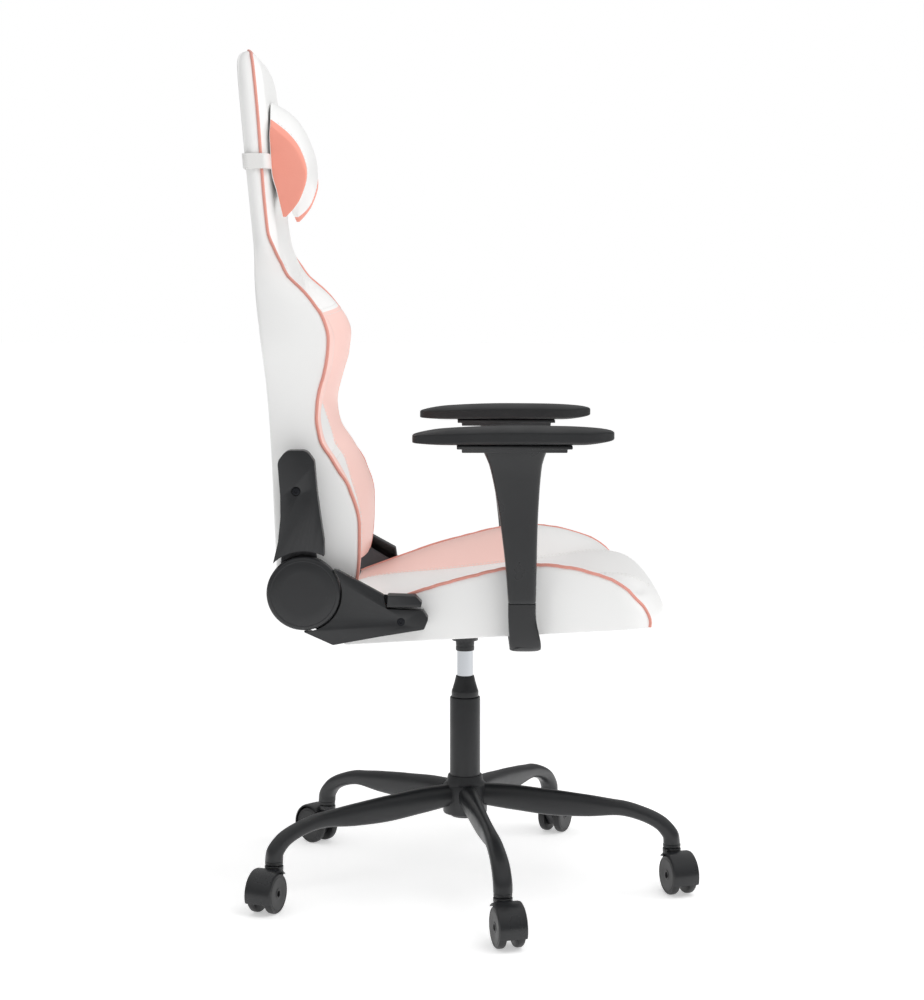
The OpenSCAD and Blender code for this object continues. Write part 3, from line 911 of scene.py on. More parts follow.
@dataclass
class Shell:
    """A closed grid of quads in the form of a box, bent into a cushion.

    Its three directions are called run, across and deep. place() turns values
    on them into millimetres (x, forward, height).
    """

    name: str
    run: Sequence[float]
    across: Sequence[float]
    deep: Sequence[float]
    place: Callable[[float, float, float], Triple]
    colour: Callable[[Wall, float, float, float], int]
    held: Callable[[Wall, float, float, float], bool]
    finishes: Sequence[Finish]
    cap_mm: float = 6.0
    pressure: float = 4.0

    def __post_init__(self) -> None:
        """Makes the grid's corners and quads."""
        self.index: dict[tuple[int, int, int], int] = {}
        self.keys: list[tuple[int, int, int]] = []
        self.quads: list[tuple[int, ...]] = []
        self.walls: list[tuple[Wall, float, float, float]] = []
        nr, na, nd = len(self.run) - 1, len(self.across) - 1, len(self.deep) - 1
        for a in range(na):
            for d in range(nd):
                for wall, r in ((Wall.START, 0), (Wall.END, nr)):
                    self.quad(wall, (r, a, d), (r, a + 1, d), (r, a + 1, d + 1), (r, a, d + 1))
        for r in range(nr):
            for d in range(nd):
                for wall, a in ((Wall.LOW_SIDE, 0), (Wall.HIGH_SIDE, na)):
                    self.quad(wall, (r, a, d), (r + 1, a, d), (r + 1, a, d + 1), (r, a, d + 1))
            for a in range(na):
                for wall, d in ((Wall.UNDER, 0), (Wall.OVER, nd)):
                    self.quad(wall, (r, a, d), (r + 1, a, d), (r + 1, a + 1, d), (r, a + 1, d))

    def quad(self, wall: Wall, *corners: tuple[int, int, int]) -> None:
        """Adds one quad of a wall.

        Args:
            wall: the wall that it is in.
            corners: its four grid corners.
        """
        numbers = []
        for key in corners:
            if key not in self.index:
                self.index[key] = len(self.keys)
                self.keys.append(key)
            numbers.append(self.index[key])
        self.quads.append(tuple(numbers))
        middle = [
            sum((self.run, self.across, self.deep)[axis][key[axis]] for key in corners) / 4
            for axis in range(3)
        ]
        self.walls.append((wall, *middle))

    def walls_of(self, key: tuple[int, int, int]) -> list[Wall]:
        """The walls that a grid corner lies in."""
        limits = (len(self.run) - 1, len(self.across) - 1, len(self.deep) - 1)
        pairs = ((Wall.START, Wall.END), (Wall.LOW_SIDE, Wall.HIGH_SIDE), (Wall.UNDER, Wall.OVER))
        return [
            pairs[axis][0 if key[axis] == 0 else 1]
            for axis in range(3)
            if key[axis] in (0, limits[axis])
        ]

    def values(self, key: tuple[int, int, int]) -> Triple:
        """A grid corner's values on the three directions."""
        return (self.run[key[0]], self.across[key[1]], self.deep[key[2]])

    def build(self) -> bpy.types.Object:
        """Makes the cushion: the grid is placed, filled and smoothed.

        Returns:
            The cushion as a plain mesh piece.
        """
        points = [spot(*self.place(*self.values(key))) for key in self.keys]
        paint = [self.colour(*wall) for wall in self.walls]
        piece = mesh_piece(self.name, points, self.quads, self.finishes, paint, crisp=180)
        held = [
            number
            for number, key in enumerate(self.keys)
            if len(self.walls_of(key)) > 1
            or any(self.held(wall, *self.values(key)) for wall in self.walls_of(key))
        ]
        fill(piece, held, self.cap_mm, self.pressure)
        smoothing = piece.modifiers.new("smoothing", "SUBSURF")
        smoothing.levels = smoothing.render_levels = 1
        self.piece = plain_copy(piece, self.name)
        self.surface = BVHTree.FromPolygons(
            [v.co for v in self.piece.data.vertices], [p.vertices for p in self.piece.data.polygons]
        )
        return self.piece

    def on_surface(self, run: float, across: float, deep: float, proud_mm: float) -> Vector:
        """The nearest place on the finished cushion.

        Args:
            run: value on the first direction.
            across: value on the second.
            deep: value on the third.
            proud_mm: how far outside the surface it ends up.

        Returns:
            The place in metres.
        """
        near, normal, _, _ = self.surface.find_nearest(spot(*self.place(run, across, deep)))
        return near + normal * proud_mm * MM


def fill(piece: bpy.types.Object, held: Sequence[int], cap_mm: float, pressure: float) -> None:
    """Blows the cover up from inside, as its foam does.

    Args:
        piece: the cushion, whose mesh is changed.
        held: numbers of the vertices at seams, which stay.
        cap_mm: the most that a point moves.
        pressure: the pressure inside.
    """
    scene = bpy.context.scene
    group = piece.vertex_groups.new(name="seams")
    group.add(list(held), 1.0, "REPLACE")
    before = np.array([v.co for v in piece.data.vertices])
    cloth = piece.modifiers.new("cover", "CLOTH")
    settings = cloth.settings
    settings.quality = 5
    settings.mass = 0.35
    settings.tension_stiffness = 20
    settings.compression_stiffness = 20
    settings.shear_stiffness = 8
    settings.bending_stiffness = 2
    settings.use_pressure = True
    settings.uniform_pressure_force = pressure
    settings.effector_weights.gravity = 0
    settings.vertex_group_mass = "seams"
    cloth.collision_settings.use_collision = False
    cloth.point_cache.frame_start = 1
    cloth.point_cache.frame_end = 20
    for number in range(1, 21):
        scene.frame_set(number)
    graph = bpy.context.evaluated_depsgraph_get()
    after = np.array([v.co for v in piece.evaluated_get(graph).data.vertices])
    piece.modifiers.remove(cloth)
    piece.vertex_groups.clear()
    scene.frame_set(1)
    move = after - before
    length = np.linalg.norm(move, axis=1, keepdims=True)
    length[length < 1e-9] = 1e-9
    # a soft limit, so that no flat spot marks where the cap begins
    limit = cap_mm * MM
    move *= limit * np.tanh(length / limit) / length
    for vertex, place in zip(piece.data.vertices, before + move):
        vertex.co = place
    log.info("%s filled, %.1f mm at most", piece.name, np.linalg.norm(move, axis=1).max() / MM)


def coated(node: str, finish: Finish) -> None:
    """Gives a frame node that keeps its shape the finish of its real surface.

    Args:
        node: the node.
        finish: its finish.
    """
    piece = frame["nodes"][node]
    if not piece.material_slots:
        piece.data.materials.append(finish.material())
    for slot in piece.material_slots:
        slot.link = "OBJECT"
        slot.material = finish.material()
    log.info("%s keeps its shape, in %s", node, finish.name)


# ---------------------------------------------------------------- star base


@dataclass
class StarBase:
    """Five bent oval legs on a hub, with a socket and a stem at each end."""

    legs: int = 5
    # middle line of a leg: distance out and height, then half height and half width there
    distance: tuple[float, ...] = (29.0, 78.0, 130.0, 190.0, 238.0, 278.0, 306.0, 319.0, 320.0)
    height: tuple[float, ...] = (139.3, 135.0, 129.5, 126.0, 124.5, 115.0, 100.0, 82.0, 72.0)
    half_high: tuple[float, ...] = (17.0, 19.5, 20.0, 17.0, 12.0, 10.8, 11.2, 12.4, 12.8)
    half_wide: tuple[float, ...] = (15.0, 13.0, 11.0, 10.0, 11.0, 12.5, 13.6, 13.8, 13.6)
    hub_profile: tuple[Pair, ...] = (
        (23.6, 109.0),
        (31.5, 109.0),
        (33.2, 109.8),
        (34.0, 111.5),
        (34.0, 152.0),
        (33.0, 154.4),
        (30.6, 156.0),
        (28.0, 160.5),
        (26.8, 167.0),
        (26.0, 168.8),
        (24.4, 169.0),
        (23.6, 168.6),
    )

    socket_profile: tuple[Pair, ...] = (
        (5.7, 66.4),
        (12.6, 66.4),
        (13.4, 67.2),
        (13.4, 71.2),
        (12.6, 72.0),
        (8.4, 72.6),
        (8.4, 84.0),
        (5.7, 84.0),
    )

    def leg_place(self, t: float, way: Vector) -> tuple[Vector, float, float]:
        """Middle of a leg's section and its half sizes.

        Args:
            t: place along the leg, counted in its stations.
            way: the direction in which the leg points.

        Returns:
            The middle in metres, half height and half width in millimetres.
        """
        stations = range(len(self.distance))
        table = [
            along(list(zip(stations, values)), t)
            for values in (self.distance, self.height, self.half_high, self.half_wide)
        ]
        middle = Vector((COLUMN.x, COLUMN.y, 0)) + way * table[0] * MM
        middle.z = table[1] * MM
        return middle, table[2], table[3]

    def leg(self, number: int) -> bpy.types.Object:
        """Lofts one leg.

        Args:
            number: 1 to 5.

        Returns:
            The leg.
        """
        way = joint_place(f"caster_{number}_swivel") - COLUMN
        way.z = 0
        way.normalize()
        flat = Vector((-way.y, way.x, 0))
        last = len(self.distance) - 1
        rings = []
        for t in spread(0, last, step=0.14):
            middle, high, wide = self.leg_place(t, way)
            ahead = self.leg_place(min(t + 0.05, last), way)[0]
            behind = self.leg_place(max(t - 0.05, 0), way)[0]
            run = (ahead - behind).normalized() if t < last - 0.2 else None
            if run is None:
                run = (way * (last - t) * 0.6 + Vector((0, 0, -1))).normalized()
            up = flat.cross(run)
            rings.append(oval(middle, flat * wide * MM, up * high * MM, 2.35, 36))
        return loft(f"leg_{number}", rings, LEG_COAT, 50)

    def socket(self, number: int) -> bpy.types.Object:
        """Turns the plastic socket in a leg's end.

        Args:
            number: 1 to 5.

        Returns:
            The socket.
        """
        stem = joint_place(f"caster_{number}_swivel")

        def place(a: float, b: float, c: float) -> Vector:
            """Puts a place of the socket in the frame."""
            return Vector((stem.x + a * MM, stem.y + b * MM, c * MM))

        profile = self.socket_profile + self.socket_profile[:1]
        return turned(f"leg_socket_{number}", profile, BLACK_PLASTIC, place, 48)

    def build(self) -> None:
        """Makes and seats the hub, legs and sockets, and gives the stems their finish."""
        hub = turned("hub", self.hub_profile + self.hub_profile[:1], LEG_COAT, upright, 72)
        seat_on(hub, "base", LEG_COAT, ["base_hub"])
        for number in range(1, self.legs + 1):
            seat_on(self.leg(number), "base", LEG_COAT, [f"base_leg_{number}"])
            seat_on(self.socket(number), "base", BLACK_PLASTIC, ["leg_sockets"])
        coated("caster_stems", ZINC)


# ---------------------------------------------------------------- casters


@dataclass
class Casters:
    """Five hooded twin-wheel casters."""

    count: int = 5
    wheel_radius: float = 30.0
    fender_radius: float = 34.6
    fender_half: float = 20.6
    fender_low: float = -17.0
    fender_high: float = 128.0
    body_half: float = 6.7
    body_low: float = 20.0
    collar_profile: tuple[Pair, ...] = (
        (5.7, 54.0),
        (10.2, 54.0),
        (13.2, 58.5),
        (14.0, 59.5),
        (14.0, 64.2),
        (13.2, 65.2),
        (5.7, 65.2),
    )
    # half of a wheel's section: radius and distance out from its inner face
    wheel_profile: tuple[Pair, ...] = (
        (4.3, 0.4),
        (9.0, 0.0),
        (25.5, 0.0),
        (28.6, 0.7),
        (29.7, 2.2),
        (30.0, 4.0),
        (30.0, 8.0),
        (29.6, 9.9),
        (28.3, 11.4),
        (26.4, 11.9),
        (25.6, 11.9),
        (25.1, 11.5),
        (24.6, 11.5),
        (24.1, 11.9),
        (20.0, 12.0),
        (14.0, 11.6),
        (8.2, 11.4),
        (7.6, 11.9),
        (6.9, 12.0),
        (5.2, 12.0),
        (4.6, 11.6),
        (4.3, 11.0),
    )

    def housing(self, number: int) -> list[bpy.types.Object]:
        """Makes the fender, the body between the wheels and the collar.

        Args:
            number: the caster, 1 to 5.

        Returns:
            The four pieces.
        """
        stem = joint_place(f"caster_{number}_swivel")
        axle = joint_place(f"wheel_{number}a_spin")
        trail = Vector((axle.x - stem.x, axle.y - stem.y, 0))
        ahead = trail.normalized()
        side = Vector((-ahead.y, ahead.x, 0))
        base = Vector((axle.x, axle.y, 0))

        def rim(turn: float, radius: float, across: float) -> Vector:
            """A place about the axle: turn in degrees from the trailing side."""
            a = math.radians(turn)
            out = ahead * radius * math.cos(a) * MM
            up = Vector((0, 0, (self.wheel_radius + radius * math.sin(a)) * MM))
            return base + out + up + side * across * MM

        # the fender's section, from its inner edge round to its outer face
        half, thick = self.fender_half, self.fender_radius
        section = [
            (self.wheel_radius + 1.4, -half + 0.5),
            (self.wheel_radius + 1.4, half - 0.5),
            (self.wheel_radius + 1.9, half),
            (thick - 3.2, half + 0.4),
            (thick - 1.0, half - 0.8),
            (thick, half - 3.4),
            (thick + 0.25, 0.0),
            (thick, -half + 3.4),
            (thick - 1.0, -half + 0.8),
            (thick - 3.2, -half - 0.4),
            (self.wheel_radius + 1.9, -half),
        ]
        fender = []
        for turn in spread(self.fender_low, self.fender_high, step=4):
            fender.append([rim(turn, radius, across) for radius, across in section])
        pieces = [loft(f"fender_{number}", fender, CASTER_PLASTIC, 34)]
        # the body's outline, as (turn, radius) about the axle, with the stem's side between
        upper = [
            (t, self.fender_radius - 2.2) for t in spread(self.fender_low, 112, step=6)
        ]
        lower = [(t, self.body_low) for t in spread(205, 300, step=6)]
        sheet = []
        for across, shrink in (
            (-self.body_half, 0.7),
            (0.8 - self.body_half, 0.0),
            (self.body_half - 0.8, 0.0),
            (self.body_half, 0.7),
        ):
            row = [rim(t, r - shrink, across) for t, r in upper]
            row += [
                stem + ahead * u * MM + side * across * MM + Vector((0, 0, z * MM - stem.z))
                for u, z in ((-4.0, 62.5), (-10.5 + shrink, 60.0), (-10.5 + shrink, 40.0))
            ]
            row += [rim(t, r - shrink, across) for t, r in lower]
            sheet.append(row)
        pieces.append(loft(f"caster_body_{number}", sheet, CASTER_PLASTIC, 34))

        def collar(a: float, b: float, c: float) -> Vector:
            """Puts a place of the collar in the frame."""
            return Vector((stem.x + a * MM, stem.y + b * MM, c * MM))

        # a curved tab runs down from the collar, on the side away from the wheels
        arc = spread(-54, 54, step=9)
        rings = []
        for z, inset in ((35.0, 0.8), (36.0, 0.0), (60.0, 0.0)):
            rings.append(
                [
                    collar(
                        *(
                            (-ahead * math.cos(math.radians(a)) + side * math.sin(math.radians(a)))
                            * r
                        ).to_2d(),
                        z,
                    )
                    for r, way in ((13.9 - inset, arc), (12.0 + inset * 0.5, arc[::-1]))
                    for a in way
                ]
            )
        pieces.append(loft(f"caster_tab_{number}", rings, CASTER_PLASTIC, 40))
        profile = self.collar_profile + self.collar_profile[:1]
        pieces.append(turned(f"caster_collar_{number}", profile, CASTER_PLASTIC, collar, 48))
        return pieces

    def wheel(self, number: int, letter: str) -> bpy.types.Object:
        """Turns one wheel about its own axle, with a smooth domed face.

        Args:
            number: the caster, 1 to 5.
            letter: a or b.

        Returns:
            The wheel.
        """
        axle = joint_place(f"wheel_{number}{letter}_spin")
        low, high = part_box(f"caster_{number}_wheel_{letter}")
        out = (low + high) / 2 - axle
        out.z = 0
        out.normalize()
        side = Vector((0, 0, 1)).cross(out)
        start = axle + out * 7.6 * MM

        def place(a: float, b: float, c: float) -> Vector:
            """Puts a place of the wheel in the frame."""
            return start + side * a * MM + Vector((0, 0, b * MM)) + out * c * MM

        profile = self.wheel_profile + self.wheel_profile[:1]
        return turned(f"wheel_{number}{letter}", profile, TREAD_PLASTIC, place, 60)

    def build(self) -> None:
        """Makes and seats housings and wheels."""
        for number in range(1, self.count + 1):
            for piece in self.housing(number):
                node = f"caster_{number}_housing"
                seat_on(piece, f"caster_{number}", CASTER_PLASTIC, [node])
            for letter in "ab":
                wheel = self.wheel(number, letter)
                node = f"caster_{number}_wheel_{letter}"
                seat_on(wheel, f"wheel_{number}{letter}", TREAD_PLASTIC, [node])


# ---------------------------------------------------------------- gas lift


@dataclass
class GasLift:
    """Outer tube, cone cap, chrome piston and its black collar."""

    tube_profile: tuple[Pair, ...] = (
        (12.6, 104.0),
        (21.5, 104.0),
        (23.4, 106.0),
        (23.4, 288.6),
        (22.9, 290.4),
        (21.8, 291.0),
        (12.6, 291.0),
    )
    cap_profile: tuple[Pair, ...] = (
        (12.7, 291.0),
        (20.2, 291.0),
        (20.8, 291.7),
        (20.8, 299.2),
        (20.5, 300.6),
        (19.6, 302.6),
        (16.4, 313.5),
        (14.6, 321.0),
        (14.0, 323.4),
        (13.4, 324.0),
        (12.7, 324.0),
    )
    piston_profile: tuple[Pair, ...] = (
        (0.0, 178.0),
        (11.4, 178.0),
        (12.3, 179.2),
        (12.3, 406.8),
        (11.6, 408.0),
        (4.1, 408.0),
        (4.1, 368.0),
        (0.0, 368.0),
    )
    collar_profile: tuple[Pair, ...] = (
        (12.35, 363.0),
        (13.6, 363.0),
        (14.2, 363.7),
        (14.2, 369.4),
        (13.9, 369.9),
        (13.9, 371.6),
        (14.2, 372.1),
        (14.2, 378.2),
        (13.6, 379.0),
        (12.35, 379.0),
    )

    def build(self) -> None:
        """Makes and seats the turned pieces."""
        rows = (
            ("gas_tube", self.tube_profile, LEG_COAT, "base", "gas_cylinder"),
            ("gas_cap", self.cap_profile, BLACK_PLASTIC, "base", "cylinder_cap"),
            ("gas_rod", self.piston_profile, CHROME, "piston", "gas_piston"),
            ("gas_collar", self.collar_profile, BLACK_PLASTIC, "piston", "piston_collar"),
        )
        for name, profile, finish, body, node in rows:
            closed = profile if profile[0][0] < 1 else profile + profile[:1]
            seat_on(turned(name, closed, finish, upright, 72), body, finish, [node])
        coated("release_pin", ZINC)


# ---------------------------------------------------------------- seat


@dataclass
class SeatCushion:
    """Bucket cushion: white all round, pink inner slopes on its side bolsters."""

    trees: Trees
    half: float = 255.0
    rear: float = -172.0
    nose: float = 288.0
    floor: float = 422.8
    base: float = 140.0
    seam: float = 85.0
    bolster: tuple[Pair, ...] = (
        (-172, 453),
        (-150, 461),
        (-98, 480),
        (-43, 499),
        (12, 514),
        (53, 524),
        (102, 530),
        (150, 525),
        (191, 514),
        (211, 506),
        (234, 490),
        (256, 468),
    )
    middle: tuple[Pair, ...] = (
        (-172, 452),
        (-150, 458),
        (-103, 464),
        (-38, 469),
        (14, 474),
        (80, 482),
        (160, 493),
        (215, 501),
        (248, 498),
        (272, 487),
        (288, 470),
    )
    nose_bulge: tuple[Pair, ...] = ((0, 294), (0.25, 295), (0.5, 293), (0.75, 289), (1, 284))

    def across_x(self, across: float) -> float:
        """Distance from the middle for a value of -1 to 1; half of it is the flat middle."""
        size = abs(across)
        x = size / 0.5 * self.base
        if size > 0.5:
            x = self.base + (size - 0.5) / 0.5 * (self.half - self.base)
        return math.copysign(x, across)

    def slope_share(self, across: float) -> float:
        """0 at the foot of a bolster's inner slope, 1 on its crest."""
        return max(0.0, (abs(across) - 0.5) / 0.5)

    def place(self, run: float, across: float, deep: float) -> Triple:
        """Bends the grid into the cushion.

        Args:
            run: forward place on the middle line, from the rear to the nose.
            across: -1 at the sitter's right to 1.
            deep: 0 at the bottom, 1 at the top.

        Returns:
            x, forward and height in millimetres.
        """
        share = (run - self.rear) / (self.nose - self.rear)
        x = self.across_x(across)
        drop = 32 * max(0.0, (abs(x) - 95) / 160) ** 2.2
        tip = along(self.nose_bulge, deep) - drop
        forward = self.rear + share * (tip - self.rear)
        # the front corners are rounded in plan
        corner = max(0.0, (share - 0.9) / 0.1)
        x *= 1 - 0.05 * corner**2.5 * abs(across) ** 3
        bottom = self.floor + forward * math.tan(SEAT_TILT)
        t = self.slope_share(across)
        low = along(self.middle, run) + 3 * (1 - (x / self.base) ** 2 if t == 0 else 0)
        scale = (256 - self.rear) / (self.nose - self.rear)
        high = along(self.bolster, self.rear + (run - self.rear) * scale)
        high = along(self.bolster, forward) if share < 0.97 else high
        top = low + (high - low) * math.sin(t * math.pi / 2) ** 1.25
        # sewn seams pull the cover in
        if deep == 1:
            if abs(abs(across) - 0.5) < 1e-6 and run < 250:
                top -= 3.0
            if abs(run - self.seam) < 1e-6:
                top -= 1.6
        height = bottom + (top - bottom) * deep
        if abs(across) == 1 and 0 < deep < 1:
            x += math.copysign(2.0 * math.sin(math.pi * deep), x) if forward > 120 else 0
        return (x, forward, height)

    def colour(self, wall: Wall, run: float, across: float, deep: float) -> int:
        """Pink on the inner slopes behind the cross seam, white elsewhere."""
        inner = wall is Wall.OVER and abs(across) > 0.5 and run < self.seam
        return 1 if inner else 0

    def held(self, wall: Wall, run: float, across: float, deep: float) -> bool:
        """Seams, the flat bottom and the sides beside the hinge plates stay put."""
        if wall in (Wall.UNDER, Wall.START):
            return True
        if wall in (Wall.LOW_SIDE, Wall.HIGH_SIDE):
            return run < 130
        seam = abs(abs(across) - 0.5) < 1e-6 or abs(run - self.seam) < 1e-6
        return wall is Wall.OVER and seam

    def build(self) -> None:
        """Makes the cushion, its piping and its stitches."""
        run = spread(self.rear, self.seam, self.nose - 4, step=9) + [self.nose - 1, self.nose]
        half = spread(0, 0.5, step=0.5 / 15)[1:] + spread(0.5, 1, step=0.5 / 13)[1:]
        across = [-a for a in reversed(half)] + [0.0] + half
        shell = Shell(
            "seat_pad",
            run,
            across,
            [0.0, 0.02] + spread(0.1, 1, step=0.1),
            self.place,
            self.colour,
            self.held,
            (WHITE_LEATHER, PINK_LEATHER),
            cap_mm=3.5,
        )
        cushion = seat_on(shell.build(), "seat", WHITE_LEATHER, ["seat_cushion"])
        edges = []
        for flank in Flank:
            side = flank.value
            top = [shell.on_surface(r, side, 1, 1.2) for r in run]
            front = [shell.on_surface(self.nose, side, d, 1.2) for d in spread(1, 0.04, step=0.08)]
            edges.append(top + front[1:])
        welt = grown(
            "seat_piping",
            edges,
            self.trees.piping,
            {"Radius": 2.2 * MM, "Step": 6 * MM, "Material": PIPING_PINK.material()},
        )
        seat_on(welt, "seat", PIPING_PINK)
        rows = []
        for flank in Flank:
            for gap in (-0.024, 0.024):
                rows.append(
                    [shell.on_surface(r, flank.value * (0.5 + gap), 1, 0.2) for r in run[2:-3]]
                )
        for gap in (-5.0, 5.0):
            rows.append([shell.on_surface(self.seam + gap, a, 1, 0.2) for a in across[3:-3]])
        thread = grown(
            "seat_stitches",
            rows,
            self.trees.stitches,
            {
                "Pitch": 6 * MM,
                "Length": 4.4 * MM,
                "Thread": 1.1 * MM,
                "Material": WHITE_THREAD.material(),
            },
        )
        seat_on(thread, "seat", WHITE_THREAD)


@dataclass
class SeatUnderside:
    """Frame, webbing, dust cloth, mechanism plate, bolts and height lever."""

    trees: Trees
    cloth_size: Pair = (424.0, 360.0)
    cloth_rear: float = -128.0
    # half width and front end of the gap for the mechanism plate
    plate_gap: Pair = (80.0, 108.9)
    # from x to x and from rear to front: the gap for an armrest's bar
    arm_gap: tuple[float, float, float, float] = (135.0, 215.0, 61.0, 109.0)
    floor: float = 422.8

    def dust_cloth(self) -> bpy.types.Object:
        """A stapled sheet with gaps for the plate and the armrests.

        Returns:
            The sheet, sagging a little between its edges.
        """
        half, rear = self.cloth_size[0] / 2, self.cloth_rear
        plate_x, front = self.plate_gap
        arm_x, arm_end, arm_rear, arm_front = self.arm_gap
        stops = (-half, -arm_x, -plate_x, plate_x, arm_x, half)
        xs = sorted({round(x, 3) for x in spread(*stops, step=14)})
        fs = [
            round(f, 3)
            for f in spread(
                rear, plate_gap_rear(), arm_rear, arm_front, rear + self.cloth_size[1], step=14
            )
        ]
        points, faces, number = [], [], {}
        area = 0.0

        def corner(x: float, f: float) -> int:
            """Number of the sheet's point at x, f."""
            if (x, f) not in number:
                number[(x, f)] = len(points)
                edge = min(1.0, (half - abs(x)) / 60, (f - rear) / 60)
                edge = min(edge, (rear + self.cloth_size[1] - f) / 60)
                sag = 2.2 * ease(edge) if abs(x) > 95 else 0.0
                height = self.floor + f * math.tan(SEAT_TILT) - 0.9 - sag
                points.append(spot(x, f, height))
            return number[(x, f)]

        for x0, x1 in zip(xs, xs[1:]):
            for f0, f1 in zip(fs, fs[1:]):
                x, f = abs(x0 + x1) / 2, (f0 + f1) / 2
                if x < plate_x and plate_gap_rear() < f < front:
                    continue
                if arm_x < x < arm_end and arm_rear < f < arm_front:
                    continue
                faces.append((corner(x0, f0), corner(x1, f0), corner(x1, f1), corner(x0, f1)))
                area += (x1 - x0) * (f1 - f0) / math.cos(SEAT_TILT) * MM * MM
        mesh = bpy.data.meshes.new("dust_cloth")
        mesh.from_pydata([tuple(p) for p in points], [], faces)
        mesh.materials.append(DUST_CLOTH.material())
        mesh.polygons.foreach_set("use_smooth", [True] * len(faces))
        piece = bpy.data.objects.new("dust_cloth", mesh)
        bpy.context.scene.collection.objects.link(piece)
        thick = piece.modifiers.new("thickness", "SOLIDIFY")
        thick.thickness = 0.5 * MM
        thick.offset = 0
        piece = plain_copy(piece, "dust_cloth")
        self.area = area
        return piece

    def build(self) -> None:
        """Makes and seats everything under the cushion."""
        coated("seat_frame", FRAME_COAT)
        coated("seat_webbing", WEBBING)
        cloth = seat_on(self.dust_cloth(), "seat", DUST_CLOTH, ["seat_base_cloth"])
        plate = eased_node("seat_plate", "mechanism_plate", LEG_COAT, 0.7)
        seat_on(plate, "seat", LEG_COAT, ["seat_plate"])
        bolts = eased_node("seat_bolts", "mechanism_bolts", ZINC, 0.6)
        seat_on(bolts, "seat", ZINC, ["seat_bolts"])
        lever = eased_node("height_lever", "height_rod", ZINC, 0.5)
        seat_on(lever, "height_lever", ZINC, ["height_lever"])
        grip = eased_node("height_lever_grip", "height_grip", BLACK_PLASTIC, 0.6)
        seat_on(grip, "height_lever", BLACK_PLASTIC, ["height_lever_grip"])
        self.staples()

    def staples(self) -> None:
        """Staples along the edge of the dust cloth."""
        half, rear = self.cloth_size[0] / 2 - 6, self.cloth_rear + 6
        front = rear + self.cloth_size[1] - 12
        rows = []
        for side in (-half, half):
            rows.append([self.under(side, f) for f in spread(rear, front, step=40)])
        for f in (rear, front):
            rows.append([self.under(x, f) for x in spread(-half, half, step=40)])
        staples = grown(
            "cloth_staples",
            rows,
            self.trees.stitches,
            {
                "Pitch": 32 * MM,
                "Length": 11 * MM,
                "Thread": 1.0 * MM,
                "Material": ZINC.material(),
            },
        )
        seat_on(staples, "seat", ZINC)

    def under(self, x: float, forward: float) -> Vector:
        """A place just under the dust cloth."""
        return spot(x, forward, self.floor + forward * math.tan(SEAT_TILT) - 1.3)


def plate_gap_rear() -> float:
    """Forward place where the mechanism plate's gap begins."""
    _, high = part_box("seat_plate")
    return round((COLUMN.y - high.y) / MM - 2, 3)


# ---------------------------------------------------------------- armrests


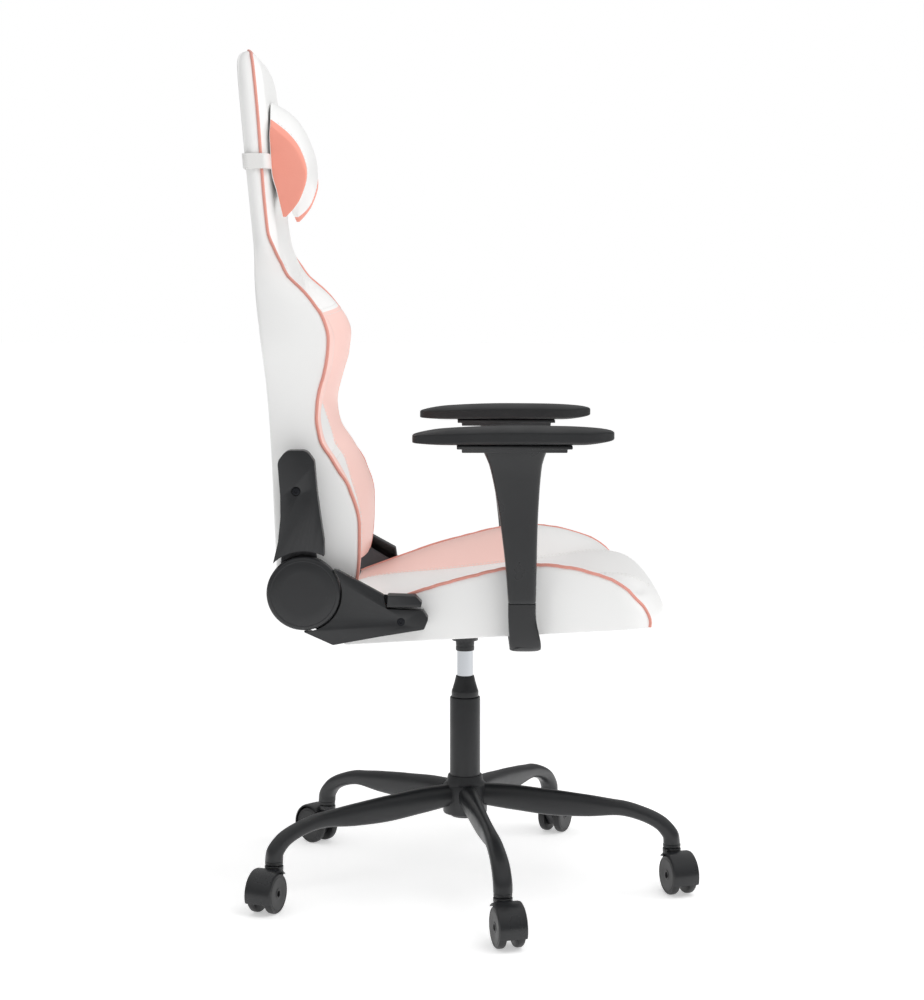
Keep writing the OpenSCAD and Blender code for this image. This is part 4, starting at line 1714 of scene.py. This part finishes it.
@dataclass
class Armrests:
    """Two fixed armrests: steel foot, tapered post, stepped plate and padded top."""

    middle: float = 283.0
    post_rear: tuple[Pair, ...] = ((479, 60), (530, 56), (582, 50), (627, 43), (673, 33), (692, 25))
    post_front: tuple[Pair, ...] = (
        (479, 99),
        (530, 100),
        (582, 101),
        (627, 103),
        (673, 107),
        (692, 113),
    )
    post_half: tuple[Pair, ...] = ((479, 14), (600, 15), (660, 17.5), (692, 22))
    pad_top: tuple[Pair, ...] = (
        (-74, 715.0),
        (-66, 717.5),
        (-30, 723),
        (60, 726.2),
        (140, 725.6),
        (190, 723),
        (202, 721),
        (207, 719.5),
    )
    pad_bottom: tuple[Pair, ...] = (
        (-74, 705.0),
        (-66, 704),
        (-25, 702.2),
        (60, 702.2),
        (160, 702.2),
        (198, 706.5),
        (207, 709.5),
    )
    floor: float = 422.8
    foot_rear: float = 62.0
    foot_bend: float = 15.0
    foot_half: float = 5.2
    pad_half: float = 45.0
    pad_rear: float = -74.0
    pad_length: float = 281.0

    def post(self, flank: Flank) -> bpy.types.Object:
        """Lofts one post from its rounded sections.

        Args:
            flank: the side.

        Returns:
            The post.
        """
        rings = []
        levels = [478.6, 479.2, 480.4] + spread(484, 684, step=10) + [688, 690.6, 691.7, 692.0]
        for height in levels:
            inset = 0.0
            if height < 481:
                inset = (1.6, 0.7, 0.15)[levels.index(height)]
            rear, front = along(self.post_rear, height), along(self.post_front, height)
            middle = spot(flank.value * self.middle, (rear + front) / 2, height)
            long = Vector((0, ((front - rear) / 2 - inset) * MM, 0))
            wide = Vector(((along(self.post_half, height) - inset) * MM, 0, 0))
            power = 3.6 + 1.6 * (height - 479) / 213
            rings.append(oval(middle, long, wide, power, 48))
        return loft(f"arm_post_{flank.word}", rings, POST_PLASTIC, 60)

    def foot(self, flank: Flank) -> bpy.types.Object:
        """Bends a flat steel bar from under the seat up to the post.

        Args:
            flank: the side.

        Returns:
            The bar.
        """
        floor = self.floor + self.foot_rear * math.tan(SEAT_TILT)
        low, radius = floor - 14.0, self.foot_bend
        path = [(x, low, 0.0) for x in (141.0, 142.0, 180.0, 230.0, self.middle - radius - 4)]
        for k in range(1, 12):
            turn = math.pi / 2 * k / 11
            path.append(
                (
                    self.middle - radius + radius * math.sin(turn),
                    low + radius - radius * math.cos(turn),
                    turn,
                )
            )
        path += [(self.middle, z, math.pi / 2) for z in (446, 455, 463, 470, 476, 478, 479)]
        rings = []
        for number, (x, height, turn) in enumerate(path):
            rise = ease((height - low) / 50)
            front = 107.0 - 8.0 * rise
            rear = self.foot_rear - 2.0 * rise
            trim = {0: 1.4, len(path) - 1: 1.0}.get(number, 0.0)
            middle = spot(flank.value * x, (front + rear) / 2, height)
            out = Vector((-flank.value * math.sin(turn), 0, math.cos(turn)))
            wide = Vector((0, ((front - rear) / 2 - trim) * MM, 0))
            rings.append(oval(middle, wide, out * (self.foot_half - trim) * MM, 3.2, 40))
        return loft(f"arm_foot_{flank.word}", rings, FOOT_COAT, 60)

    def spacer(self, flank: Flank) -> bpy.types.Object:
        """Makes the block between the bar and the seat frame.

        Args:
            flank: the side.

        Returns:
            The block.
        """
        rings = []
        for lift, trim in ((-9.0, 0.0), (-8.0, 0.0), (-1.2, 0.0), (-0.3, 0.9)):
            middle = spot(flank.value * 175, 83, self.floor + 83 * math.tan(SEAT_TILT) + lift)
            long = Vector((0, (20.5 - trim) * MM, 0))
            rings.append(oval(middle, long, Vector(((24.5 - trim) * MM, 0, 0)), 9.0, 40))
        return loft(f"arm_spacer_{flank.word}", rings, FOOT_COAT, 50)

    def pad_place(self, flank: Flank) -> Callable[[float, float, float], Triple]:
        """How the pad's grid is bent.

        Args:
            flank: the side.

        Returns:
            The bending of (run, across, deep).
        """

        def place(run: float, across: float, deep: float) -> Triple:
            """Bends the grid into a flat pad with round ends."""
            t = run * 2 - 1
            # rounded rectangle in plan
            squeeze = (1 - abs(across) ** 5 * 0.085) * t
            width = self.pad_half * (1 - 0.34 * abs(t) ** 7)
            forward = self.pad_rear + self.pad_length * (squeeze + 1) / 2
            x = across * width
            crown = 1 - abs(across) ** 6 * 0.42
            top, bottom = along(self.pad_top, forward), along(self.pad_bottom, forward)
            middle = (top + bottom) / 2 - 1.5
            top = middle + (top - middle) * crown
            lift = (middle - bottom) * abs(across) ** 6 * 0.4
            height = bottom + lift + (top - bottom - lift) * deep
            return (flank.value * self.middle + x, forward, height)

        return place

    def pad(self, flank: Flank) -> bpy.types.Object:
        """One pad, moulded foam with a skin.

        Args:
            flank: the side.

        Returns:
            The pad.
        """
        shell = Shell(
            f"arm_pad_{flank.word}",
            [0.0, 0.012] + spread(0.035, 0.965, step=0.03) + [0.988, 1.0],
            [-1.0, -0.96] + spread(-0.88, 0.88, step=0.11) + [0.96, 1.0],
            [0.0, 0.15, 0.5, 0.85, 1.0],
            self.pad_place(flank),
            lambda *_: 0,
            lambda wall, run, across, deep: wall is not Wall.OVER,
            (PAD_FOAM,),
            cap_mm=1.2,
            pressure=2.0,
        )
        return shell.build()

    def build(self) -> None:
        """Makes and seats both armrests."""
        for flank in Flank:
            word = flank.word
            node = f"armrest_{word}_bracket"
            seat_on(self.foot(flank), "seat", FOOT_COAT, [node])
            seat_on(self.spacer(flank), "seat", FOOT_COAT, [node])
            seat_on(self.post(flank), "seat", POST_PLASTIC, [f"armrest_{word}_post"])
            pad = seat_on(self.pad(flank), "seat", PAD_FOAM, [f"armrest_{word}_pad"])
        plates = eased_node("armrest_plates", "arm_plates", POST_PLASTIC, 1.2)
        seat_on(plates, "seat", POST_PLASTIC, ["armrest_plates"])


# ---------------------------------------------------------------- backrest


@dataclass
class BackCushion:
    """Tall back with side bolsters: white outside, pink inner slopes, pink piping."""

    trees: Trees
    bottom: float = 484.0
    top: float = 1268.0
    lumbar: float = 665.0
    corner: float = 60.0
    shoulder: float = 892.0
    width: tuple[Pair, ...] = (
        (484, 238),
        (540, 246),
        (590, 248),
        (660, 240),
        (730, 235),
        (790, 243),
        (845, 255),
        (895, 247),
        (932, 218),
        (960, 177),
        (985, 153),
        (1040, 147),
        (1180, 147),
        (1268, 134),
    )
    rear: tuple[Pair, ...] = (
        (484, -255),
        (500, -268),
        (562, -270),
        (760, -280),
        (937, -299),
        (985, -305.2),
        (1225, -326.9),
        (1250, -329),
        (1262, -326.5),
        (1268, -320),
    )
    crest: tuple[Pair, ...] = (
        (484, -160),
        (500, -153),
        (545, -148.5),
        (585, -148),
        (630, -160),
        (672, -181),
        (704, -201),
        (738, -206),
        (775, -198),
        (815, -187),
        (850, -184),
        (875, -192),
        (910, -221),
        (941, -255),
        (985, -271.5),
        (1225, -293),
        (1242, -297),
        (1256, -303),
        (1265, -310),
        (1268, -317),
    )
    middle: tuple[Pair, ...] = (
        (484, -170),
        (500, -164),
        (545, -164),
        (585, -171),
        (620, -182),
        (664, -196),
        (666, -202),
        (700, -213),
        (750, -228),
        (800, -235),
        (850, -239),
        (920, -250),
        (965, -266),
        (985, -272.5),
        (1225, -293.5),
        (1242, -297),
        (1256, -303),
        (1265, -310),
        (1268, -317),
    )
    behind_crest: tuple[Pair, ...] = (
        (484, 1),
        (640, 1),
        (664, 5),
        (740, 5),
        (775, 8),
        (860, 8),
        (905, 3),
        (945, 1),
        (964, 4),
        (1000, 12),
        (1225, 11),
        (1252, 8),
        (1268, 2),
    )

    def half(self, height: float) -> float:
        """Half width, with the head's corners rounded off."""
        wide = along(self.width, height)
        over = height - (self.top - self.corner)
        if over > 0:
            wide -= self.corner - math.sqrt(max(0.0, self.corner**2 - over * over))
        return wide

    def place(self, run: float, across: float, deep: float) -> Triple:
        """Bends the grid into the backrest.

        Args:
            run: height over the floor.
            across: -1 at the sitter's right to 1.
            deep: 0 at the rear, 1 at the front.

        Returns:
            x, forward and height in millimetres.
        """
        half = self.half(run)
        foot = min(130.0, half * 0.62)
        size = abs(across)
        x = size / 0.5 * foot
        if size > 0.5:
            x = foot + (size - 0.5) / 0.5 * (half - 3 - foot)
        t = max(0.0, (size - 0.5) / 0.5)
        rear = along(self.rear, run)
        crest, flat = along(self.crest, run), along(self.middle, run)
        # the crest lies inside the piping, which sits a little further back
        peak = 0.84 - 0.5 * ease((run - 955) / 60)
        if t <= peak:
            front = flat + (crest - flat) * math.sin(t / peak * math.pi / 2) ** 1.3
        else:
            fall = (t - peak) / (1 - peak)
            front = crest - along(self.behind_crest, run) * fall**1.8
        height = run - 5 * max(0.0, (run - self.top + self.corner) / self.corner)
        if 0.5 < size and deep == 1:
            # the shoulder seam slants inwards and down
            height -= 20 * (1 - t) * math.exp(-(((run - self.shoulder) / 45) ** 2))
        if deep == 1:
            if abs(size - 0.5) < 1e-6 and run < 960:
                front -= 3.0
            if abs(run - self.lumbar) < 1e-6 and size < 0.5:
                front -= 2.0
            if abs(run - self.shoulder) < 1e-6 and size > 0.5:
                front -= 1.0
        back = rear - 3 + 4 * size**8
        forward = back + (front - back) * deep
        if size == 1:
            x = half - 3 + 3.0 * math.sin(math.pi * deep) - 5 * (1 - deep) ** 4
        return (math.copysign(x, across), forward, height)

    def colour(self, wall: Wall, run: float, across: float, deep: float) -> int:
        """Pink on the inner slopes under the shoulder seam, white elsewhere."""
        slope = wall is Wall.OVER and abs(across) > 0.5
        return 1 if slope and run < self.shoulder else 0

    def held(self, wall: Wall, run: float, across: float, deep: float) -> bool:
        """Seams stay put, and so do the hard back shell and the foot."""
        if wall in (Wall.UNDER, Wall.START):
            return True
        if wall is Wall.OVER:
            return (
                (abs(abs(across) - 0.5) < 1e-6 and run < 980)
                or (abs(run - self.lumbar) < 1e-6 and abs(across) <= 0.5)
                or (abs(run - self.shoulder) < 1e-6)
                or run > 985
                or run < 492
            )
        return run > 985 or run < 500

    def build(self) -> None:
        """Makes the cushion, its piping and its stitches."""
        run = (
            spread(self.bottom, self.lumbar, self.shoulder, 1208, step=8.5)
            + spread(1208, 1256, step=8)[1:]
            + [1260.5, 1264, 1266.6, 1268]
        )
        half = spread(0, 0.5, step=0.5 / 14)[1:] + spread(0.5, 1, step=0.5 / 13)[1:]
        across = [-a for a in reversed(half)] + [0.0] + half
        shell = Shell(
            "back_pad",
            run,
            across,
            spread(0, 1, step=1 / 9),
            self.place,
            self.colour,
            self.held,
            (WHITE_LEATHER, PINK_LEATHER),
            cap_mm=6,
        )
        cushion = seat_on(shell.build(), "back", WHITE_LEATHER, ["back_cushion"])
        up = [r for r in run if 492 < r < 1262]
        right = [shell.on_surface(r, -1, 1, 1.3) for r in up]
        over = [shell.on_surface(1268, a, 1, 1.3) for a in across if abs(a) < 0.95]
        left = [shell.on_surface(r, 1, 1, 1.3) for r in reversed(up)]
        welt = grown(
            "back_piping",
            [right + over + left],
            self.trees.piping,
            {"Radius": 2.2 * MM, "Step": 6 * MM, "Material": PIPING_PINK.material()},
        )
        seat_on(welt, "back", PIPING_PINK)
        rows = []
        for flank in Flank:
            for gap in (-0.022, 0.022):
                side = flank.value * (0.5 + gap)
                rows.append([shell.on_surface(r, side, 1, 0.2) for r in run if 500 < r < 955])
            slant = [a for a in half if 0.52 < a < 0.98]
            for gap in (-5.0, 5.0):
                rows.append(
                    [
                        shell.on_surface(self.shoulder + gap, flank.value * a, 1, 0.2)
                        for a in slant
                    ]
                )
        for gap in (-5.0, 5.0):
            flat = [a for a in across if abs(a) < 0.48]
            rows.append([shell.on_surface(self.lumbar + gap, a, 1, 0.2) for a in flat])
            rows.append([shell.on_surface(self.shoulder + gap, a, 1, 0.2) for a in flat])
        thread = grown(
            "back_stitches",
            rows,
            self.trees.stitches,
            {
                "Pitch": 6 * MM,
                "Length": 4.4 * MM,
                "Thread": 1.1 * MM,
                "Material": WHITE_THREAD.material(),
            },
        )
        seat_on(thread, "back", WHITE_THREAD)


@dataclass
class Hinges:
    """Side hinges: steel plates, pins, plastic covers, round caps and screws."""

    trees: Trees
    # forward place and height of the screws in the covers
    upper_screw: Pair = (-236.5, 636.0)
    lower_screw: Pair = (-90.5, 452.0)
    cap_profile: tuple[Pair, ...] = (
        (12.0, 268.4),
        (49.0, 268.4),
        (51.2, 268.6),
        (52.0, 269.6),
        (52.0, 284.6),
        (51.6, 286.4),
        (50.4, 288.4),
        (48.2, 289.8),
        (46.2, 290.2),
        (45.4, 289.9),
        (44.6, 290.3),
        (30.0, 290.8),
        (0.0, 291.0),
    )

    def cap(self, flank: Flank) -> bpy.types.Object:
        """Turns one hinge cap.

        Args:
            flank: the side.

        Returns:
            The cap.
        """

        def place(a: float, b: float, c: float) -> Vector:
            """Puts a place of the cap in the frame."""
            return spot(flank.value * c, HINGE_FORWARD + a, HINGE_HEIGHT + b)

        profile = ((0.0, 284.0), (12.0, 284.0)) + self.cap_profile
        return turned(f"hinge_cap_{flank.word}", profile, BLACK_PLASTIC, place, 96)

    def screw(self) -> bpy.types.Object:
        """A socket-head screw along x, to be set out many times.

        Returns:
            The screw, which is removed after use.
        """
        sides = 18
        rings = []
        for x, radius in ((-3.0, 6.0), (-0.9, 6.0), (-0.2, 5.7), (0.0, 5.1)):
            rings.append([(x, radius, k) for k in range(sides)])
        for x, radius in ((0.0, 3.3), (-2.0, 3.1)):
            rings.append([(x, radius, k) for k in range(sides)])
        points = []
        for number, ring in enumerate(rings):
            for x, radius, k in ring:
                a = 2 * math.pi * k / sides
                # the socket has six flats
                if number > 3:
                    radius *= math.cos(math.pi / 6) / math.cos(a % (math.pi / 3) - math.pi / 6)
                points.append((x * MM, radius * math.cos(a) * MM, radius * math.sin(a) * MM))
        faces = [
            (r * sides + k, r * sides + (k + 1) % sides, (r + 1) * sides + (k + 1) % sides,
             (r + 1) * sides + k)
            for r in range(len(rings) - 1)
            for k in range(sides)
        ]
        faces.append(tuple(range(sides)))
        faces.append(tuple((len(rings) - 1) * sides + k for k in range(sides)))
        return mesh_piece("screw_pattern", points, faces, [BLACK_SCREW])

    def screws(self, name: str, node: str, body: str, forward: float, height: float) -> None:
        """Sets one screw in the cover on each side.

        Args:
            name: the new piece's name.
            node: the node that it stands for.
            body: its body.
            forward: the screws' forward place.
            height: the screws' height.
        """
        _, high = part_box(node)
        outer = (high.x - COLUMN.x) / MM
        pattern = self.screw()
        for flank in Flank:
            turn = 0.0 if flank is Flank.LEFT else math.pi
            piece = grown(
                f"{name}_{flank.word}",
                [[spot(flank.value * outer, forward, height)]],
                self.trees.fasteners,
                {
                    "Fastener": pattern,
                    "Turn": (0.0, 0.0, turn),
                    "Material": BLACK_SCREW.material(),
                },
            )
            seat_on(piece, body, BLACK_SCREW, [node])
        bpy.data.objects.remove(pattern)

    def build(self) -> None:
        """Makes and seats the hinge pieces of both sides."""
        coated("back_frame", FRAME_COAT)
        for flank in Flank:
            coated(f"seat_bracket_{flank.word}", FRAME_COAT)
            coated(f"back_bracket_{flank.word}", FRAME_COAT)
        coated("hinge_pins", ZINC)
        for flank in Flank:
            word = flank.word
            upper = eased_node(f"upper_cover_{word}", f"upper_shell_{word}", BLACK_PLASTIC, 1.6)
            seat_on(upper, "back", BLACK_PLASTIC, [f"upper_cover_{word}"])
            lower = eased_node(f"lower_cover_{word}", f"lower_shell_{word}", BLACK_PLASTIC, 1.6)
            seat_on(lower, "seat", BLACK_PLASTIC, [f"lower_cover_{word}"])
            seat_on(self.cap(flank), "seat", BLACK_PLASTIC, ["hinge_caps"])
        lever = eased_node("recline_lever", "recline_handle", BLACK_PLASTIC, 1.2)
        seat_on(lever, "recline_lever", BLACK_PLASTIC, ["recline_lever"])
        self.screws("upper_screw", "upper_cover_screws", "back", *self.upper_screw)
        self.screws("lower_screw", "lower_cover_screws", "seat", *self.lower_screw)


# ---------------------------------------------------------------- headrest


@dataclass
class Headrest:
    """Neck pillow, white in the middle and pink at its ends, on an elastic strap."""

    trees: Trees
    half: float = 130.0
    strap_height: float = 1100.0
    strap_half: float = 148.6
    strap_wide: float = 22.0
    # forward places of the front and rear, from the lower edge (0) to the upper (1)
    front_middle: tuple[Pair, ...] = (
        (0.0, -256),
        (0.05, -240),
        (0.135, -229.5),
        (0.37, -225),
        (0.61, -234.5),
        (0.84, -253),
        (0.95, -273),
        (1.0, -287),
    )
    front_end: tuple[Pair, ...] = (
        (0.0, -260),
        (0.08, -250),
        (0.19, -240),
        (0.457, -229.5),
        (0.7, -239),
        (0.86, -256),
        (0.95, -270),
        (1.0, -278),
    )
    rear_end: tuple[Pair, ...] = (
        (0.0, -264),
        (0.3, -274),
        (0.5, -281),
        (0.95, -283),
        (1.0, -281.5),
    )
    seam: float = 0.88

    def head_face(self, height: float) -> float:
        """Forward place of the head cushion's front at a height."""
        return -271.2 - (height - 985) * 21.8 / 240

    def place(self, run: float, across: float, deep: float) -> Triple:
        """Bends the grid into the pillow.

        Args:
            run: 0 at the lower edge, 1 at the upper.
            across: -1 at the sitter's right to 1.
            deep: 0 against the head cushion, 1 at the front.

        Returns:
            x, forward and height in millimetres.
        """
        size = abs(across)
        share = size**2.2
        low = 1053 - 33 * size**2
        high = 1193 - 44 * size**2.4
        height = low + (high - low) * run
        front = along(self.front_middle, run) * (1 - share) + along(self.front_end, run) * share
        rear = (self.head_face(height) + 1.5) * (1 - share) + along(self.rear_end, run) * share
        forward = rear + (front - rear) * deep
        # the seam between middle and end panel pulls the cover in
        if abs(size - self.seam) < 1e-6 and deep == 1:
            forward -= 1.5
        return (across * self.half, forward, height)

    def colour(self, wall: Wall, run: float, across: float, deep: float) -> int:
        """Pink end panels."""
        if wall in (Wall.LOW_SIDE, Wall.HIGH_SIDE):
            return 1
        return 1 if wall is not Wall.UNDER and abs(across) > self.seam else 0

    def build(self) -> None:
        """Makes the pillow, its strap and its stitches."""
        half = spread(0, self.seam, step=0.062)[1:] + [0.92, 0.96, 0.985, 1.0]
        across = [-a for a in reversed(half)] + [0.0] + half
        shell = Shell(
            "neck_pillow",
            [0.0, 0.02] + spread(0.06, 0.94, step=0.05) + [0.98, 1.0],
            across,
            spread(0, 1, step=0.2),
            self.place,
            self.colour,
            lambda wall, run, a, deep: wall is Wall.UNDER,
            (WHITE_LEATHER, PILLOW_PINK),
            cap_mm=5,
            pressure=3.0,
        )
        pillow = seat_on(shell.build(), "headrest", WHITE_LEATHER, ["headrest_pillow"])
        rows = []
        for flank in Flank:
            rows.append(
                [
                    shell.on_surface(r, flank.value * (self.seam - 0.025), 1, 0.2)
                    for r in spread(0.08, 0.95, step=0.06)
                ]
            )
        thread = grown(
            "pillow_stitches",
            rows,
            self.trees.stitches,
            {
                "Pitch": 6 * MM,
                "Length": 4.2 * MM,
                "Thread": 1.0 * MM,
                "Material": WHITE_THREAD.material(),
            },
        )
        seat_on(thread, "headrest", WHITE_THREAD)
        seat_on(self.strap(), "headrest", STRAP_WEB, ["pillow_strap"])

    def strap(self) -> bpy.types.Object:
        """Flat elastic band from one end of the pillow round the head to the other.

        Returns:
            The band.
        """
        front, rear, side = 36.0, -3.4, self.strap_half + 0.9
        plan: list[tuple[float, float]] = [(-124.0, front - 3.0), (-132.0, front - 2.0)]
        plan += [(-141.0, front - 3.4)]

        def bend(cx: float, cy: float, radius: float, a0: float, a1: float) -> None:
            """Adds a round corner to the plan."""
            for k in range(7):
                a = math.radians(a0 + (a1 - a0) * k / 6)
                plan.append((cx + radius * math.cos(a), cy + radius * math.sin(a)))

        bend(-side + 6, front - 12, 6, 90 + 30, 180)
        bend(-side + 8, rear + 8, 8.9, 180, 270)
        bend(side - 8, rear + 8, 8.9, 270, 360)
        bend(side - 6, front - 12, 6, 0, 60)
        plan += [(141.0, front - 3.4), (132.0, front - 2.0), (124.0, front - 3.0)]
        up = Vector((0, math.sin(HEAD_LEAN), math.cos(HEAD_LEAN)))
        rings = []
        for number, (x, f) in enumerate(plan):
            before = plan[max(number - 1, 0)]
            after = plan[min(number + 1, len(plan) - 1)]
            way = Vector((after[0] - before[0], -(after[1] - before[1]), 0)).normalized()
            across = up.cross(way).normalized()
            middle = spot(x, -315.8 + f, self.strap_height)
            rings.append(
                oval(middle, up * self.strap_wide / 2 * MM, across * 0.85 * MM, 5.0, 20)
            )
        return loft("head_strap", rings, STRAP_WEB, 60)


# ---------------------------------------------------------------- studio


@dataclass
class Studio:
    """Pale floor, soft light and the camera."""

    eye: Triple = (-3.2626, 0.0167, 0.926)
    tip: float = -0.1006
    lens: float = 77.57
    sky_low: float = 0.1
    sky_high: float = 0.78
    key_power: float = 16.0
    front_power: float = 34.0
    floor_glow: float = 0.45

    def lamp(self, name: str, place: Triple, aim: Triple, size: float, power: float) -> None:
        """Adds one large soft lamp.

        Args:
            name: its name.
            place: where it hangs.
            aim: what it points at.
            size: its side in metres.
            power: its power in watts.
        """
        light = bpy.data.lights.new(name, "AREA")
        light.shape = "SQUARE"
        light.size = size
        light.energy = power
        lamp = bpy.data.objects.new(name, light)
        lamp.location = place
        # soft fill only: no hot spots on the leather
        lamp.visible_glossy = False
        lamp.rotation_euler = (Vector(aim) - Vector(place)).to_track_quat("-Z", "Y").to_euler()
        bpy.context.scene.collection.objects.link(lamp)

    def sky(self) -> None:
        """A white room that is brighter overhead than at the walls."""
        world = bpy.data.worlds.new("pale_sky")
        bpy.context.scene.world = world
        world.use_nodes = True
        tree = world.node_tree
        where = add_node(tree, "ShaderNodeTexCoord").outputs["Generated"]
        parts = add_node(tree, "ShaderNodeSeparateXYZ", {0: where})
        light = add_node(
            tree,
            "ShaderNodeMapRange",
            {0: parts.outputs["Z"], 1: -0.1, 2: 0.9, 3: self.sky_low, 4: self.sky_high},
        )
        # the wall seen behind the chair stays plain white
        seen = add_node(tree, "ShaderNodeLightPath").outputs["Is Camera Ray"]
        strength = add_node(
            tree, "ShaderNodeMix", {0: seen, 2: light.outputs[0], 3: 1.0}, data_type="FLOAT"
        )
        shade = tree.nodes["Background"]
        shade.inputs["Color"].default_value = (1.0, 1.0, 1.0, 1.0)
        tree.links.new(strength.outputs[0], shade.inputs["Strength"])

    def build(self) -> None:
        """Sets up floor, sky, lamps and camera."""
        scene = bpy.context.scene
        scene.view_settings.view_transform = "Standard"
        points = [(-30, -30, 0), (30, -30, 0), (30, 30, 0), (-30, 30, 0)]
        floor = mesh_piece("studio_floor", points, [(0, 1, 2, 3)], [PALE_FLOOR])
        glow = PALE_FLOOR.material().node_tree.nodes["Principled BSDF"]
        glow.inputs["Emission Color"].default_value = (1.0, 1.0, 1.0, 1.0)
        glow.inputs["Emission Strength"].default_value = self.floor_glow
        self.sky()
        self.lamp("key", (-1.1, -0.8, 2.5), (0, 0.1, 0.9), 1.2, self.key_power)
        self.lamp("front", (0.3, -3.4, 1.8), (0, 0, 0.8), 2.4, self.front_power)
        camera = bpy.data.cameras.new("camera")
        camera.lens = self.lens
        camera.sensor_width = 36
        view = bpy.data.objects.new("camera", camera)
        view.location = self.eye
        view.rotation_euler = (math.pi / 2 + self.tip, 0, -math.pi / 2)
        scene.collection.objects.link(view)
        scene.camera = view


def main() -> None:
    """Builds the chair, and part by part."""
    logging.basicConfig(level=logging.INFO, format="%(name)s: %(message)s")
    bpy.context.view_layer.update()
    Studio().build()
    trees = Trees()
    parts = (
        StarBase(),
        Casters(),
        GasLift(),
        SeatCushion(trees),
        SeatUnderside(trees),
        Armrests(),
        BackCushion(trees),
        Hinges(trees),
        Headrest(trees),
    )
    for part in parts:
        part.build()
        log.info("%s is done", type(part).__name__)


if __name__ == "__main__":
    main()
